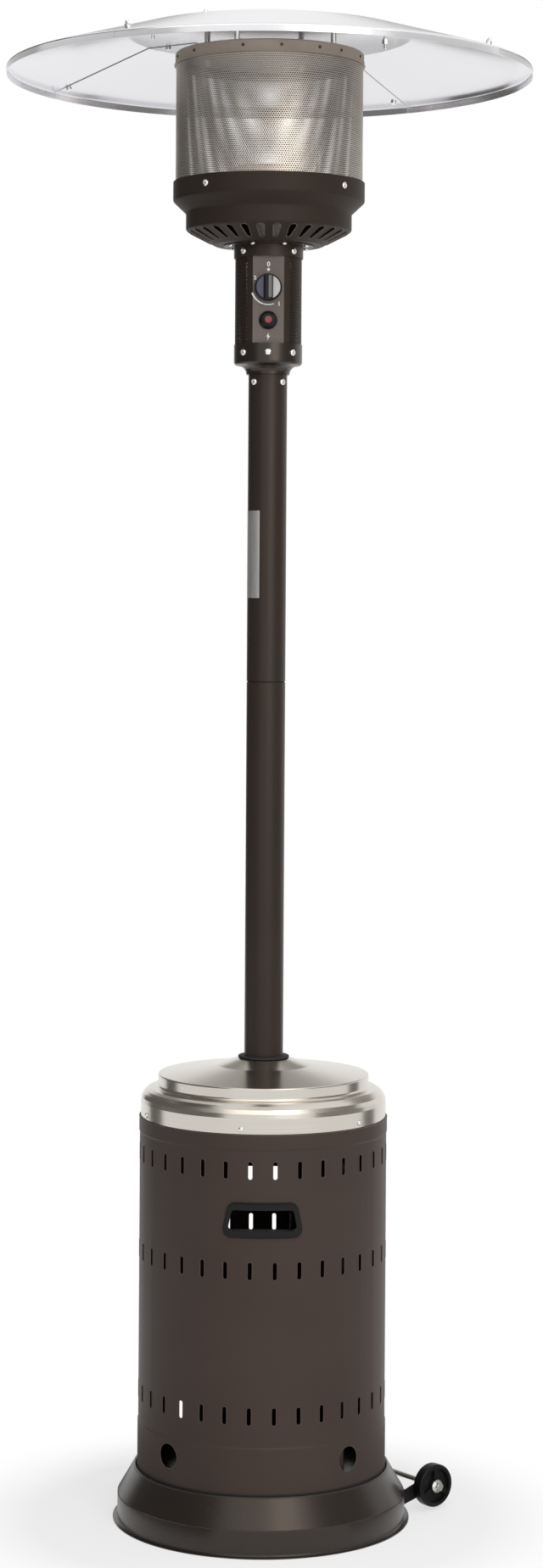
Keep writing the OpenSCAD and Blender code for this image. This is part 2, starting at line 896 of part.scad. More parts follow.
module support_post(index) {
    color(bronze) at_bearing(post_bearings[index])
    difference() {
        union() {
            difference() {
                post_sweep(post_d);
                post_sweep(post_d - 2 * post_t);
            }
            translate([post_r, 0, deck_z + seat_gap])
                linear_extrude(foot_t) {
                    circle(d = foot_w);
                    translate([-foot_reach, -foot_w / 2]) square([foot_reach, foot_w]);
                }
            translate([flange_bolt_r, 0, arm_z - tab_t / 2])
                linear_extrude(tab_t) {
                    circle(d = tab_w);
                    translate([0, -tab_w / 2]) square([arm_end_r + tab_grip - flange_bolt_r, tab_w]);
                }
        }
        translate([post_r - foot_bolt_reach, 0, deck_z]) bolt_hole(post_bolt_d);
        translate([flange_bolt_r, 0, arm_z]) bolt_hole(flange_bolt_d);
    }
}

module support_post_1() {
    support_post(0);
}

module support_post_2() {
    support_post(1);
}

module support_post_3() {
    support_post(2);
}

module post_bolts() {
    color(zinc) at_post_feet()
        translate([0, 0, seat_gap + foot_t]) hex_bolt(post_bolt_d, foot_t + seat_gap + base_t);
}

module pole_flange() {
    color(bronze)
    difference() {
        union() {
            translate([0, 0, flange_z]) cylinder(d = flange_d, h = flange_t);
            translate([0, 0, flange_z]) cylinder(r = spigot_r, h = flange_t + spigot_l);
        }
        translate([0, 0, flange_z + flange_t]) cylinder(r = spigot_r - spigot_t, h = spigot_l + past);
        translate([0, 0, flange_z - past]) cylinder(r = inlet_neck_r + fit_gap, h = flange_t + 2 * past);
        at_flange_bolts() bolt_hole(flange_bolt_d);
        at_pole_foot_screws() screw_hole(small_screw);
    }
}

module flange_bolts() {
    color(zinc) at_flange_bolts()
        translate([0, 0, flange_t]) hex_bolt(flange_bolt_d, flange_t + seat_gap + tab_t);
}

// Lower pole, drawn in at the top to enter the upper pole
module lower_pole() {
    color(bronze)
    difference() {
        spun_sheet([
            [pole_r, pole_z, 0],
            [pole_r, joint_z - joint_groove, 0],
            [spigot_r, joint_z, 0],
            [spigot_r, joint_z + spigot_l, 0]
        ], pole_t);
        at_pole_foot_screws() screw_hole(small_screw);
    }
}

module pole_foot_screws() {
    color(zinc) at_pole_foot_screws()
        translate([0, 0, fit_gap]) pan_screw(small_screw, pole_t + spigot_t + screw_past);
}

module upper_pole() {
    color(bronze)
    difference() {
        translate([0, 0, upper_pole_z]) tube(pole_r, pole_bore_r, upper_pole_l);
        at_neck_screws() screw_hole(large_screw);
    }
}

// Gas feed inside the pole
module gas_pipe() {
    color(brass)
        translate([0, 0, pipe_z])
            tube(pipe_r, pipe_r - pipe_wall, knob_z - valve_low - pipe_z - seat_gap);
}

module gas_inlet() {
    color(brass)
    difference() {
        union() {
            translate([0, 0, flange_z - inlet_hex_h - seat_gap])
                cylinder(d = inlet_hex_d, h = inlet_hex_h, $fn = 6);
            translate([0, 0, flange_z - inlet_hex_h - inlet_stub_l])
                cylinder(d = inlet_stub_d, h = inlet_stub_l + past);
            translate([0, 0, flange_z - inlet_hex_h])
                cylinder(r = inlet_neck_r, h = inlet_hex_h + flange_t + inlet_lock_h);
            translate([0, 0, flange_z + flange_t + seat_gap])
                cylinder(d = inlet_hex_d, h = inlet_lock_h, $fn = 6);
        }
        translate([0, 0, pipe_z - seat_gap])
            cylinder(r = pipe_r + run_gap, h = pipe_seat + flange_t + inlet_lock_h + 2 * past);
        translate([0, 0, flange_z - inlet_hex_h - inlet_stub_l - past])
            cylinder(r = pipe_r - pipe_wall, h = inlet_hex_h + inlet_stub_l);
    }
}

// Tank cover
module slot_outline() {
    straight = slot_h - slot_w;
    square([slot_w, straight], center = true);
    for (end = [-1, 1]) translate([0, end * straight / 2]) circle(d = slot_w);
}

// Hand opening seen from the front, grown by side and edge
module hand_outline(side, edge, corner) {
    low = hand_low_w / 2 + side + edge * hand_lean;
    top = hand_top_w / 2 + side - edge * hand_lean;
    half = hand_gap / 2 + edge;
    polygon(rounded_loop([[-low, -half], [low, -half], [top, half], [-top, half]], corner));
}

// Prism of the hand opening, from a depth behind the cover's face out through it
module hand_prism(bearing, side, edge, corner, depth) {
    at_bearing(bearing)
        translate([housing_r - depth, 0, deck_z + hand_h])
            rotate([90, 0, 90])
                linear_extrude(depth + frame_proud + hole_reach) hand_outline(side, edge, corner);
}

module tank_housing() {
    cut = 6 * housing_t;
    lining = frame_lining_t + fit_gap;
    color(bronze)
    difference() {
        spun_sheet([
            [band_r, housing_z, 0],
            [band_r, deck_z + foot_band_h - band_slope, 0],
            [housing_r, deck_z + foot_band_h, 0],
            [housing_r, dome_z - top_band_h - band_slope, 0],
            [band_r, dome_z - top_band_h, 0],
            [band_r, dome_z - housing_t, 0],
            [cover_neck_r, dome_z, 0],
            [cover_neck_r, dome_z + neck_up, 0]
        ], housing_t);
        for (height = slot_row_heights)
            ring_of(slots_per_row, 180 / slots_per_row)
                translate([housing_r - cut, 0, deck_z + height])
                    rotate([90, 0, 90]) linear_extrude(2 * cut) slot_outline();
        ring_of(round_hole_count, hole_bearing)
            outward(housing_r - cut, deck_z + hole_h) cylinder(d = hole_d, h = 2 * cut);
        for (bearing = [0, 180])
            hand_prism(bearing, lining, lining, frame_corner_r + lining, hand_reach);
        at_dome_screws() screw_hole(small_screw);
    }
}

module dome() {
    color(steel)
    difference() {
        spun_sheet([
            [dome_r, dome_z + seat_gap, 0],
            [dome_r, cove_z, shoulder_r],
            [tier_r, cove_z, cove_r],
            [tier_r, tier_z, tier_edge_r],
            [dome_collar_d / 2, tier_top, dome_collar_bend_r],
            [dome_hole_r, dome_top, 0]
        ], housing_t);
        translate([0, 0, dome_z]) cylinder(r = dome_hole_r, h = dome_top);
        at_dome_screws() screw_hole(small_screw);
    }
}

module dome_screws() {
    color(zinc) at_dome_screws()
        translate([0, 0, fit_gap]) pan_screw(small_screw, 2 * housing_t + screw_past);
}

// Shell round the cover that a grip frame's flange is cut from
module frame_shell(proud) {
    translate([0, 0, deck_z]) tube(housing_r + fit_gap + proud, housing_r + fit_gap, housing_h);
}

// Moulded frame round a hand opening: a flange that follows the cover, and a lining
module grip_frame(bearing) {
    lining_corner_r = frame_corner_r + frame_lining_t;
    color(black)
    difference() {
        union() {
            for (inset = [0, frame_soften])
                intersection() {
                    hand_prism(bearing, frame_side_w - inset, frame_edge_w - inset,
                               frame_outer_corner_r - inset, hand_reach);
                    frame_shell(frame_proud - frame_soften + inset);
                }
            intersection() {
                hand_prism(bearing, frame_lining_t, frame_lining_t, lining_corner_r, frame_depth);
                translate([0, 0, deck_z]) cylinder(r = housing_r + fit_gap + past, h = housing_h);
            }
        }
        hand_prism(bearing, 0, 0, frame_corner_r, hand_reach);
    }
}

module front_grip_frame() {
    grip_frame(0);
}

module rear_grip_frame() {
    grip_frame(180);
}

// Bush that lets the dome slide on the pole
module pole_grommet() {
    bore_r = pole_r + slide_gap;
    lip_r = grommet_r + grommet_lip;
    color(black)
        translate([0, 0, dome_top])
            rotate_extrude()
                polygon(rounded_line([
                    [bore_r, -grommet_below, 0],
                    [grommet_r, -grommet_below, 0],
                    [grommet_r, seat_gap, 0],
                    [lip_r, seat_gap, 0],
                    [lip_r, grommet_lip_h, grommet_round],
                    [bore_r, grommet_top_h, 0]
                ]));
}

// Control housing
module neck_cup() {
    lip_r = pole_r + neck_lip;
    lip_z = pole_top + seat_gap;
    color(bronze)
    difference() {
        spun_sheet([
            [spigot_r, pole_top - spigot_l, 0],
            [spigot_r, lip_z, 0],
            [lip_r, lip_z, 0],
            [lip_r, lip_z + neck_flare_r, neck_flare_r * bend_share],
            [cup_r, lip_z + neck_flare_r, cup_corner_r * bend_share],
            [cup_r, cup_top, 0]
        ], cup_t);
        at_neck_screws() screw_hole(large_screw);
        at_cup_screws() screw_hole(large_screw);
    }
}

module neck_screws() {
    color(zinc) at_neck_screws()
        translate([0, 0, fit_gap]) pan_screw(large_screw, pole_t + cup_t + screw_past);
}

module side_screen() {
    color(bronze)
    difference() {
        translate([0, 0, cup_top - screen_lap])
            tube(screen_r, screen_r - cup_t, screen_h + 2 * screen_lap);
        translate([-panel_w / 2 - fit_gap, -cup_d, cup_top - 2 * screen_lap])
            cube([panel_w + 2 * fit_gap, cup_d, screen_h + 4 * screen_lap]);
        at_cup_screws() screw_hole(large_screw);
        at_collar_screws() screw_hole(large_screw);
    }
}

module housing_collar() {
    color(bronze)
    difference() {
        spun_sheet([
            [collar_r, collar_z, 0],
            [collar_r, bowl_z - collar_flange_t - seat_gap, 0]
        ], collar_t);
        at_collar_screws() screw_hole(large_screw);
    }
    color(bronze)
    difference() {
        translate([0, 0, bowl_z - collar_flange_t - seat_gap])
            tube(collar_flange_r, collar_inner_r, collar_flange_t);
        at_bowl_floor_screws() screw_hole(small_screw);
    }
}

module housing_screws() {
    color(zinc) {
        at_cup_screws() translate([0, 0, fit_gap]) pan_screw(large_screw, 2 * cup_t + screw_past);
        at_collar_screws() translate([0, 0, fit_gap]) pan_screw(large_screw, collar_t + cup_t + screw_past);
    }
}

// Flat plate with its long edges turned back
module control_panel() {
    color(panel_grey)
    difference() {
        union() {
            translate([-panel_w / 2, -panel_front, panel_z]) cube([panel_w, panel_t, panel_len]);
            for (side = [-1, 1])
                translate([side * (panel_w - panel_t) / 2 - panel_t / 2, -panel_front, panel_z])
                    cube([panel_t, panel_return, panel_len]);
        }
        forward(0, knob_z) cylinder(r = stem_d / 2 + stem_hole_play, h = cup_d);
        forward(0, igniter_z) cylinder(d = piezo_d + 2 * fit_gap, h = cup_d);
    }
}

module gas_valve() {
    port_z = knob_z - valve_low - valve_port_l;
    outlet_z = knob_z + valve_high;
    color(brass)
    difference() {
        union() {
            translate([-valve_w / 2, -valve_front, knob_z - valve_low])
                cube([valve_w, valve_front + valve_back, valve_low + valve_high]);
            forward(valve_front - past, knob_z)
                cylinder(d = valve_boss_d, h = valve_boss_l + past - seat_gap);
            translate([0, 0, port_z]) cylinder(d = valve_port_d, h = valve_port_l + past);
            translate([0, 0, outlet_z - past]) cylinder(d = valve_outlet_d, h = valve_outlet_l + past);
        }
        forward(plug_front - plug_l, knob_z) cylinder(d = plug_d + 2 * run_gap, h = plug_l + seat_gap);
        forward(plug_front - past, knob_z) cylinder(r = stem_d / 2 + stem_play, h = cup_d);
        translate([0, 0, port_z - past]) cylinder(r = pipe_r + run_gap, h = valve_port_l + past);
        translate([0, 0, outlet_z])
            cylinder(r = valve_outlet_d / 2 - valve_outlet_wall, h = valve_outlet_l + past);
    }
}

module valve_plug() {
    color(brass)
    difference() {
        forward(plug_front - plug_l + seat_gap, knob_z) cylinder(d = plug_d, h = plug_l - 2 * seat_gap);
        forward(plug_front - plug_l + plug_floor, knob_z) cylinder(d = stem_d + 2 * run_gap, h = plug_l);
    }
}

module valve_stem() {
    color(zinc)
        forward(stem_back, knob_z) cylinder(d = stem_d, h = knob_back + stem_grip - stem_back);
}

// Knob with a skirt, a dished face and a grip bar across it
module control_knob() {
    knob_r = knob_d / 2;
    face_r = knob_r - knob_rim_w;
    grip = knob_grip_w / 2;
    color(black)
    difference() {
        forward(knob_back, knob_z) {
            rotate_extrude()
                polygon(rounded_line([
                    [0, 0, 0],
                    [knob_r, 0, 0],
                    [knob_r - knob_draft, knob_skirt_l, knob_round],
                    [face_r, knob_skirt_l, 0],
                    [face_r - knob_dish, knob_skirt_l - knob_dish, 0],
                    [0, knob_skirt_l - knob_dish, 0]
                ]));
            intersection() {
                cylinder(r = knob_r - knob_grip_inset, h = knob_l);
                translate([0, knob_r, 0])
                    rotate([90, 0, 0])
                        linear_extrude(knob_d)
                            polygon(rounded_line([
                                [-grip, 0, 0],
                                [-grip + knob_grip_draft, knob_l, knob_round],
                                [grip - knob_grip_draft, knob_l, knob_round],
                                [grip, 0, 0]
                            ]));
            }
        }
        forward(knob_back - past, knob_z) cylinder(d = stem_d + 2 * fit_gap, h = stem_grip + past + seat_gap);
    }
}

module igniter_bezel() {
    color(black)
    difference() {
        forward(panel_front + seat_gap, igniter_z)
            rotate_extrude()
                polygon(rounded_line([
                    [0, 0, 0],
                    [igniter_d / 2, 0, 0],
                    [igniter_d / 2, bezel_edge_h, bezel_edge_round],
                    [button_d / 2 + bezel_mouth_w, bezel_l, bezel_mouth_round],
                    [0, bezel_l, 0]
                ]));
        forward(panel_front, igniter_z) cylinder(d = button_d + 2 * run_gap, h = bezel_l + 2 * past);
    }
}

module piezo_unit() {
    color(black)
    difference() {
        forward(piezo_back, igniter_z) cylinder(d = piezo_d, h = panel_front - piezo_back);
        forward(button_back - button_push - piezo_floor, igniter_z)
            cylinder(d = button_d + 2 * run_gap, h = panel_front);
    }
}

module igniter_button() {
    color(red)
        forward(button_back, igniter_z)
            rotate_extrude()
                polygon(rounded_line([
                    [0, 0, 0],
                    [button_d / 2, 0, 0],
                    [button_d / 2, button_front - button_back, button_round],
                    [0, button_front - button_back, 0]
                ]));
}

module tilt_switch() {
    color(black)
        translate([-switch_w / 2, valve_back + seat_gap, knob_z - switch_h / 2])
            cube([switch_w, switch_l, switch_h]);
}

// Burner head
module burner_tube() {
    color(steel)
        spun_sheet([
            [tube_low_r, tube_z, 0],
            [tube_low_r, tube_z + valve_outlet_l, tube_bend_r],
            [tube_r, tube_z + valve_outlet_l + tube_taper, tube_bend_r],
            [tube_r, burner_deck_z + bowl_t + burner_h / 2, 0]
        ], bowl_t);
}

module air_slot_outline() {
    translate([air_slot_in_r, 0]) circle(d = air_slot_inner_w);
    translate([air_slot_out_r, 0]) circle(d = air_slot_outer_w);
    polygon([
        [air_slot_in_r, -air_slot_inner_w / 2],
        [air_slot_out_r, -air_slot_outer_w / 2],
        [air_slot_out_r, air_slot_outer_w / 2],
        [air_slot_in_r, air_slot_inner_w / 2]
    ]);
}

module burner_bowl() {
    color(bronze)
    difference() {
        spun_sheet([
            [tube_r + fit_gap, bowl_z, 0],
            [bowl_floor_r, bowl_z, bowl_bend_r],
            [bowl_wall_r, cone_top, bowl_bend_r],
            [bowl_wall_r, flare_z, bowl_bend_r],
            [ring_r, ring_z, bowl_bend_r],
            [ring_r, bowl_top, 0]
        ], bowl_t);
        ring_of(air_slot_count, 180 / air_slot_count)
            translate([0, 0, bowl_z - past]) linear_extrude(cone_h + bowl_wall_h) air_slot_outline();
        at_bowl_floor_screws() screw_hole(small_screw);
        at_ring_screws() screw_hole(large_screw);
    }
}

module bowl_floor_screws() {
    color(zinc) at_bowl_floor_screws()
        translate([0, 0, seat_gap]) pan_screw(small_screw, collar_flange_t + bowl_t + screw_past);
}

module burner_deck() {
    color(steel)
    translate([0, 0, burner_deck_z]) tube(ring_inner_r - fit_gap, tube_r + fit_gap, bowl_t);
}

// Ported cup that the gas burns from
module burner_cup() {
    cup_z = burner_deck_z + bowl_t + seat_gap;
    color(steel)
    difference() {
        spun_sheet([
            [burner_r + burner_foot_w, cup_z + bowl_t, 0],
            [burner_r, cup_z + bowl_t, 0],
            [burner_r, cup_z + burner_h, burner_round],
            [0, cup_z + burner_h, 0]
        ], bowl_t);
        for (row = burner_hole_rows)
            ring_of(burner_hole_count, 0)
                outward(burner_r, cup_z + burner_h * row)
                    cylinder(d = burner_hole_d, h = 2 * burner_round, center = true);
    }
}

// Pilot tube, spark rod and flame sensor on one foot
module pilot_assembly() {
    color(brass)
    translate([pilot_r, 0, burner_deck_z + bowl_t + seat_gap]) {
        translate([-pilot_foot[0] / 2, -pilot_foot[1] / 2, 0]) cube(pilot_foot);
        for (rod = pilot_rods) translate([0, rod[0], 0]) cylinder(d = rod[1], h = rod[2]);
    }
}

module ring_screws() {
    color(zinc) at_ring_screws()
        translate([0, 0, fit_gap]) pan_screw(large_screw, bowl_t + foot_flange_w + screw_past);
}

// Emitter wall with a turned-out foot that centres it in the bowl's ring
module emitter_screen() {
    foot_rise = ring_h - deck_lift - bowl_t - emitter_foot_drop;
    wall_top = cap_z - cap_corner_r;
    inner_r = emitter_r - screen_t;
    color(steel)
    difference() {
        union() {
            translate([0, 0, emitter_z]) tube(emitter_r, inner_r, wall_top - emitter_z);
            translate([0, 0, emitter_z]) tube(emitter_r + foot_flange_w, inner_r, foot_rise);
        }
        at_ring_screws() screw_hole(large_screw);
        at_cap_rivets() screw_hole(rivet);
    }
}

// Pressed cap with a rolled lower lip and a flat top
module emitter_cap() {
    lip_z = cap_z - cap_skirt_h + bowl_t;
    color(steel)
    difference() {
        spun_sheet([
            [cap_r + cap_lip, lip_z, 0],
            [cap_r, lip_z, 0],
            [cap_r, cap_z, cap_corner_r],
            [0, cap_z, 0]
        ], bowl_t);
        at_standoffs() translate([0, 0, cap_z]) bolt_hole(stud_d);
        at_cap_rivets() screw_hole(rivet);
    }
}

module cap_rivets() {
    color(zinc) at_cap_rivets()
        translate([0, 0, seat_gap]) pan_screw(rivet, seat_gap + bowl_t + fit_gap + screen_t + rivet_past);
}

// Reflector: studs with spacers, four lapped panels and a hub plate
module reflector_standoffs() {
    color(zinc) at_standoffs() {
        translate([0, 0, cap_z + seat_gap]) cylinder(d = standoff_d, h = standoff_l - 2 * seat_gap);
        translate([0, 0, cap_z - stud_below])
            cylinder(d = stud_d, h = stud_below + standoff_l + stud_above);
    }
}

module hex_nut(width, h, bore_d) {
    difference() {
        cylinder(d = width, h = h, $fn = 6);
        translate([0, 0, -past]) cylinder(d = bore_d + 2 * run_gap, h = h + 2 * past);
    }
}

module standoff_nuts() {
    color(zinc) at_standoffs()
        translate([0, 0, cap_z - bowl_t - nut_h - seat_gap]) hex_nut(nut_d, nut_h, stud_d);
}

// Lower face of a panel from its rim to its inner edge
reflector_line = rounded_line([
    [reflector_edge_r, edge_z - rim_h, 0],
    [reflector_edge_r, edge_z, rim_bend_r],
    [flat_r, flat_z, flat_bend_r],
    [panel_inner_r, flat_z, 0]
]);

module panel_sheet(low, high, first, sweep) {
    rotate([0, 0, first])
        rotate_extrude(angle = sweep) polygon(sheet(reflector_line, -low, -high));
}

// Strip beside a seam that runs along +X, between two distances across it
module seam_strip(from, to) {
    translate([lap_start, from, edge_z - 2 * rim_h])
        cube([reflector_r, to - from, reflector_rise + 4 * rim_h]);
}

module seam_bolt_holes() {
    for (r = [inner_bolt_r, outer_bolt_r])
        on_lap(r) bolt_hole(seam_bolt_d);
}

// Panel in the frame of its last seam, where its tongue reaches under the next panel
module reflector_panel(index) {
    quarter = 360 / panel_count;
    under = -lap_gap - panel_sheet_t;
    color(bright)
    rotate([0, 0, seam_bearing + (index + 1) * quarter])
    difference() {
        union() {
            panel_sheet(0, panel_sheet_t, seam_play - quarter, quarter - 2 * seam_play);
            intersection() {
                panel_sheet(under, panel_sheet_t / 2, -lap_sweep, lap_sweep);
                seam_strip(-lap_bridge, -fit_gap);
            }
            intersection() {
                panel_sheet(under, -lap_gap, -lap_sweep, 2 * lap_sweep);
                seam_strip(-fit_gap - lap_bite, lap_w);
            }
        }
        seam_bolt_holes();
        rotate([0, 0, -quarter]) seam_bolt_holes();
        rotate([0, 0, -quarter / 2]) translate([hub_bolt_r, 0, flat_z]) bolt_hole(seam_bolt_d);
        rotate([0, 0, standoff_from_seam - quarter]) translate([standoff_r, 0, flat_z]) bolt_hole(stud_d);
    }
}

module reflector_panel_1() {
    reflector_panel(0);
}

module reflector_panel_2() {
    reflector_panel(1);
}

module reflector_panel_3() {
    reflector_panel(2);
}

module reflector_panel_4() {
    reflector_panel(3);
}

module reflector_hub() {
    color(bright)
    difference() {
        translate([0, 0, hub_z]) cylinder(r = hub_r, h = hub_t);
        at_standoffs() translate([0, 0, hub_z]) bolt_hole(stud_d);
        at_seams() on_lap(inner_bolt_r) bolt_hole(seam_bolt_d);
        at_hub_bolts() bolt_hole(seam_bolt_d);
    }
}

// Bolts that point up through the laps
module seam_bolts() {
    color(zinc) at_seams()
    for (r = [inner_bolt_r, outer_bolt_r])
        on_lap(r) {
            translate([0, 0, lap_bottom - seam_head_h]) cylinder(d = seam_head_d, h = seam_head_h);
            translate([0, 0, lap_bottom - past])
                cylinder(d = seam_bolt_d, h = past - lap_bottom + hub_top + wing_hub_h + screw_past);
        }
}

// Wing nut without its bore, standing on z = 0
module wing_blank() {
    reach = wing_span / 2;
    root = wing_hub_h - wing_foot;
    cylinder(d = wing_hub_d, h = wing_hub_h);
    for (turn = [0, 180])
        rotate([90, 0, turn])
            linear_extrude(wing_t, center = true)
                polygon(rounded_loop([
                    [0, wing_foot],
                    [reach - wing_lean, wing_rise - wing_lean],
                    [reach, wing_rise - wing_lean + wing_tip],
                    [wing_hub_d / 2 - wing_foot, root],
                    [0, root]
                ], wing_round));
}

module wing_nut() {
    difference() {
        wing_blank();
        translate([0, 0, -past]) cylinder(d = seam_bolt_d + 2 * run_gap, h = wing_hub_h + 2 * past);
    }
}

module wing_nuts() {
    color(zinc) at_seams() {
        on_lap(outer_bolt_r)
            translate([0, 0, panel_sheet_t + seat_gap]) rotate([0, 0, wing_turns[$seam][0]]) wing_nut();
        on_lap(inner_bolt_r)
            translate([0, 0, hub_top]) rotate([0, 0, wing_turns[$seam][1]]) wing_nut();
    }
}

// Bolts that hang from the hub plate through the middle of each panel
module hub_bolts() {
    color(zinc) at_hub_bolts() {
        translate([0, 0, hub_top]) cylinder(d = seam_head_d, h = seam_head_h);
        translate([0, 0, -hub_bolt_hang]) cylinder(d = seam_bolt_d, h = hub_bolt_hang + hub_top + past);
    }
}

module hub_nuts() {
    color(zinc) at_hub_bolts()
        translate([0, 0, -seat_gap - hub_nut_h]) hex_nut(hub_nut_d, hub_nut_h, seam_bolt_d);
}

// Large wing nuts with a washer face on the studs
module stud_wing_nuts() {
    face_z = hub_z + hub_t + seat_gap;
    nut_l = stud_face_h + stud_wing_scale * wing_hub_h;
    color(zinc) at_standoffs()
        translate([0, 0, face_z])
            difference() {
                union() {
                    cylinder(d = stud_face_d, h = stud_face_h);
                    translate([0, 0, stud_face_h - past])
                        rotate([0, 0, stud_wing_turn]) scale(stud_wing_scale) wing_blank();
                }
                translate([0, 0, -past]) cylinder(d = stud_d + 2 * run_gap, h = nut_l + 2 * past);
            }
}

base();
wheel_bracket();
bracket_bolts();
wheel_axle();
axle_nuts();
near_wheel();
far_wheel();
support_post_1();
support_post_2();
support_post_3();
post_bolts();
pole_flange();
flange_bolts();
lower_pole();
pole_foot_screws();
upper_pole();
gas_pipe();
gas_inlet();
tank_housing();
dome();
dome_screws();
front_grip_frame();
rear_grip_frame();
pole_grommet();
neck_cup();
neck_screws();
side_screen();
housing_collar();
housing_screws();
control_panel();
gas_valve();
valve_plug();
valve_stem();
control_knob();
igniter_bezel();
piezo_unit();
igniter_button();
tilt_switch();
burner_tube();
burner_bowl();
bowl_floor_screws();
burner_deck();
burner_cup();
pilot_assembly();
ring_screws();
emitter_screen();
emitter_cap();
cap_rivets();
reflector_standoffs();
standoff_nuts();
reflector_panel_1();
reflector_panel_2();
reflector_panel_3();
reflector_panel_4();
reflector_hub();
seam_bolts();
wing_nuts();
hub_bolts();
hub_nuts();
stud_wing_nuts();
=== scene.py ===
"""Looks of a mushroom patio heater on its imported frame: finishes, perforated screens, marks and studio."""
from __future__ import annotations

import json
import logging
import math
from dataclasses import dataclass, replace
from enum import Enum
from typing import Any, Callable, Sequence

import bmesh
import bpy
from mathutils import Matrix, Vector

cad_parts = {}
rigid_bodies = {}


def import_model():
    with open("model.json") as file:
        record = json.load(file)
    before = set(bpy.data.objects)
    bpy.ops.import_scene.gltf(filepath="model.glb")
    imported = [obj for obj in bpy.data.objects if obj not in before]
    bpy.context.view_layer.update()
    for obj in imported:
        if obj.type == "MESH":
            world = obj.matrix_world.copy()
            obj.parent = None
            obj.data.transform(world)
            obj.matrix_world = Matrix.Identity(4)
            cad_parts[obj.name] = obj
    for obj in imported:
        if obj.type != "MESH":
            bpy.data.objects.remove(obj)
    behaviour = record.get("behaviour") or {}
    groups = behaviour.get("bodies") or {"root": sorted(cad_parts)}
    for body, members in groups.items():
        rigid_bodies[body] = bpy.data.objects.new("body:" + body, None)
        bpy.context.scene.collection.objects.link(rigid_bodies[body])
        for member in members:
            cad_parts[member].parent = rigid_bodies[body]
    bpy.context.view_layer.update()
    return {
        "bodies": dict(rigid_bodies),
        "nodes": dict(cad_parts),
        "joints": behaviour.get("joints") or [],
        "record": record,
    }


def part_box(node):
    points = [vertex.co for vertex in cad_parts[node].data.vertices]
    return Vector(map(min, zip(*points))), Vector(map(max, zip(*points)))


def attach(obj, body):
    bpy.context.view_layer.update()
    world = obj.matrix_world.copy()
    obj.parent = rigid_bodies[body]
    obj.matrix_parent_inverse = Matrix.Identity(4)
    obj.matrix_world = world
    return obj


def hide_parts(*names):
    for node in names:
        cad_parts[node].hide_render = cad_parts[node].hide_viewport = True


LOG = logging.getLogger("heater")
MM = 0.001
NODE_WELD = 0.002 * MM
CELL_WELD = 0.05 * MM
SKIN_WELD = 0.005 * MM
SMOOTH_ANGLE = math.radians(35)
RIM_ANGLE = math.radians(50)
BEAD_SIDES = 6
HEX_SIDES = 6
HEX_ROW = 1.5
STAMP_SEED = 7
NOISE_ROUGHNESS = 0.55
MIX_SHARE, MIX_LOW, MIX_HIGH, MIX_COLOUR = 0, 6, 7, 2
WHITE = (1.0, 1.0, 1.0, 1.0)
WARM_SHEEN = (1.0, 0.9, 0.82, 1.0)
# Near-black painted shade for the inside of the emitter's screen.
INSIDE_PAINTED_SHADE = (0.012, 0.010, 0.009, 1.0)

Colour = tuple[float, float, float]
Shade = tuple[float, float, float, float]
Spot = tuple[float, float, float]
Point = tuple[float, float]
Skin = Callable[[Vector, Vector], bool]


class Slot(Enum):
    """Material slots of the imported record."""

    BRONZE = "bronze_paint"
    PANEL = "panel_paint"
    DOME = "dome_steel"
    EMITTER = "emitter_steel"
    REFLECTOR = "reflector_metal"
    ZINC = "zinc"
    BRASS = "brass"
    PLASTIC = "black_plastic"
    RED = "red_plastic"
    RUBBER = "black_rubber"
    BLACK_STEEL = "black_steel"


class Body(Enum):
    """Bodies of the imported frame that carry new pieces."""

    STAND = "stand"
    COVER = "tank_cover"
    KNOB = "knob"


class Facing(Enum):
    """Way that a row of fasteners looks."""

    OUTWARD = "away from the pole's axis"
    DOWN = "towards the floor"


class Value:
    """A node's output; arithmetic on it adds Math nodes to its graph."""

    def __init__(self, graph: Graph, socket: bpy.types.NodeSocket) -> None:
        """Keeps the graph and the socket."""
        self.graph = graph
        self.socket = socket

    def out(self, name: str) -> Value:
        """Another output of the same node."""
        return Value(self.graph, self.socket.node.outputs[name])

    def math(self, operation: str, *terms: Value | float) -> Value:
        """A Math node of the given operation on the given terms."""
        return self.graph.node("ShaderNodeMath", {"operation": operation}, dict(enumerate(terms)))

    def __add__(self, other: Value | float) -> Value:
        """Sum."""
        return self.math("ADD", self, other)

    def __radd__(self, other: float) -> Value:
        """Sum with a number on the left."""
        return self.math("ADD", other, self)

    def __sub__(self, other: Value | float) -> Value:
        """Difference."""
        return self.math("SUBTRACT", self, other)

    def __rsub__(self, other: float) -> Value:
        """Difference with a number on the left."""
        return self.math("SUBTRACT", other, self)

    def __mul__(self, other: Value | float) -> Value:
        """Product."""
        return self.math("MULTIPLY", self, other)

    def __rmul__(self, other: float) -> Value:
        """Product with a number on the left."""
        return self.math("MULTIPLY", other, self)

    def __truediv__(self, other: Value | float) -> Value:
        """Quotient."""
        return self.math("DIVIDE", self, other)

    def __rtruediv__(self, other: float) -> Value:
        """Quotient with a number on the left."""
        return self.math("DIVIDE", other, self)

    def __pow__(self, other: Value | float) -> Value:
        """Power."""
        return self.math("POWER", self, other)

    def __rpow__(self, other: float) -> Value:
        """Power of a number on the left."""
        return self.math("POWER", other, self)


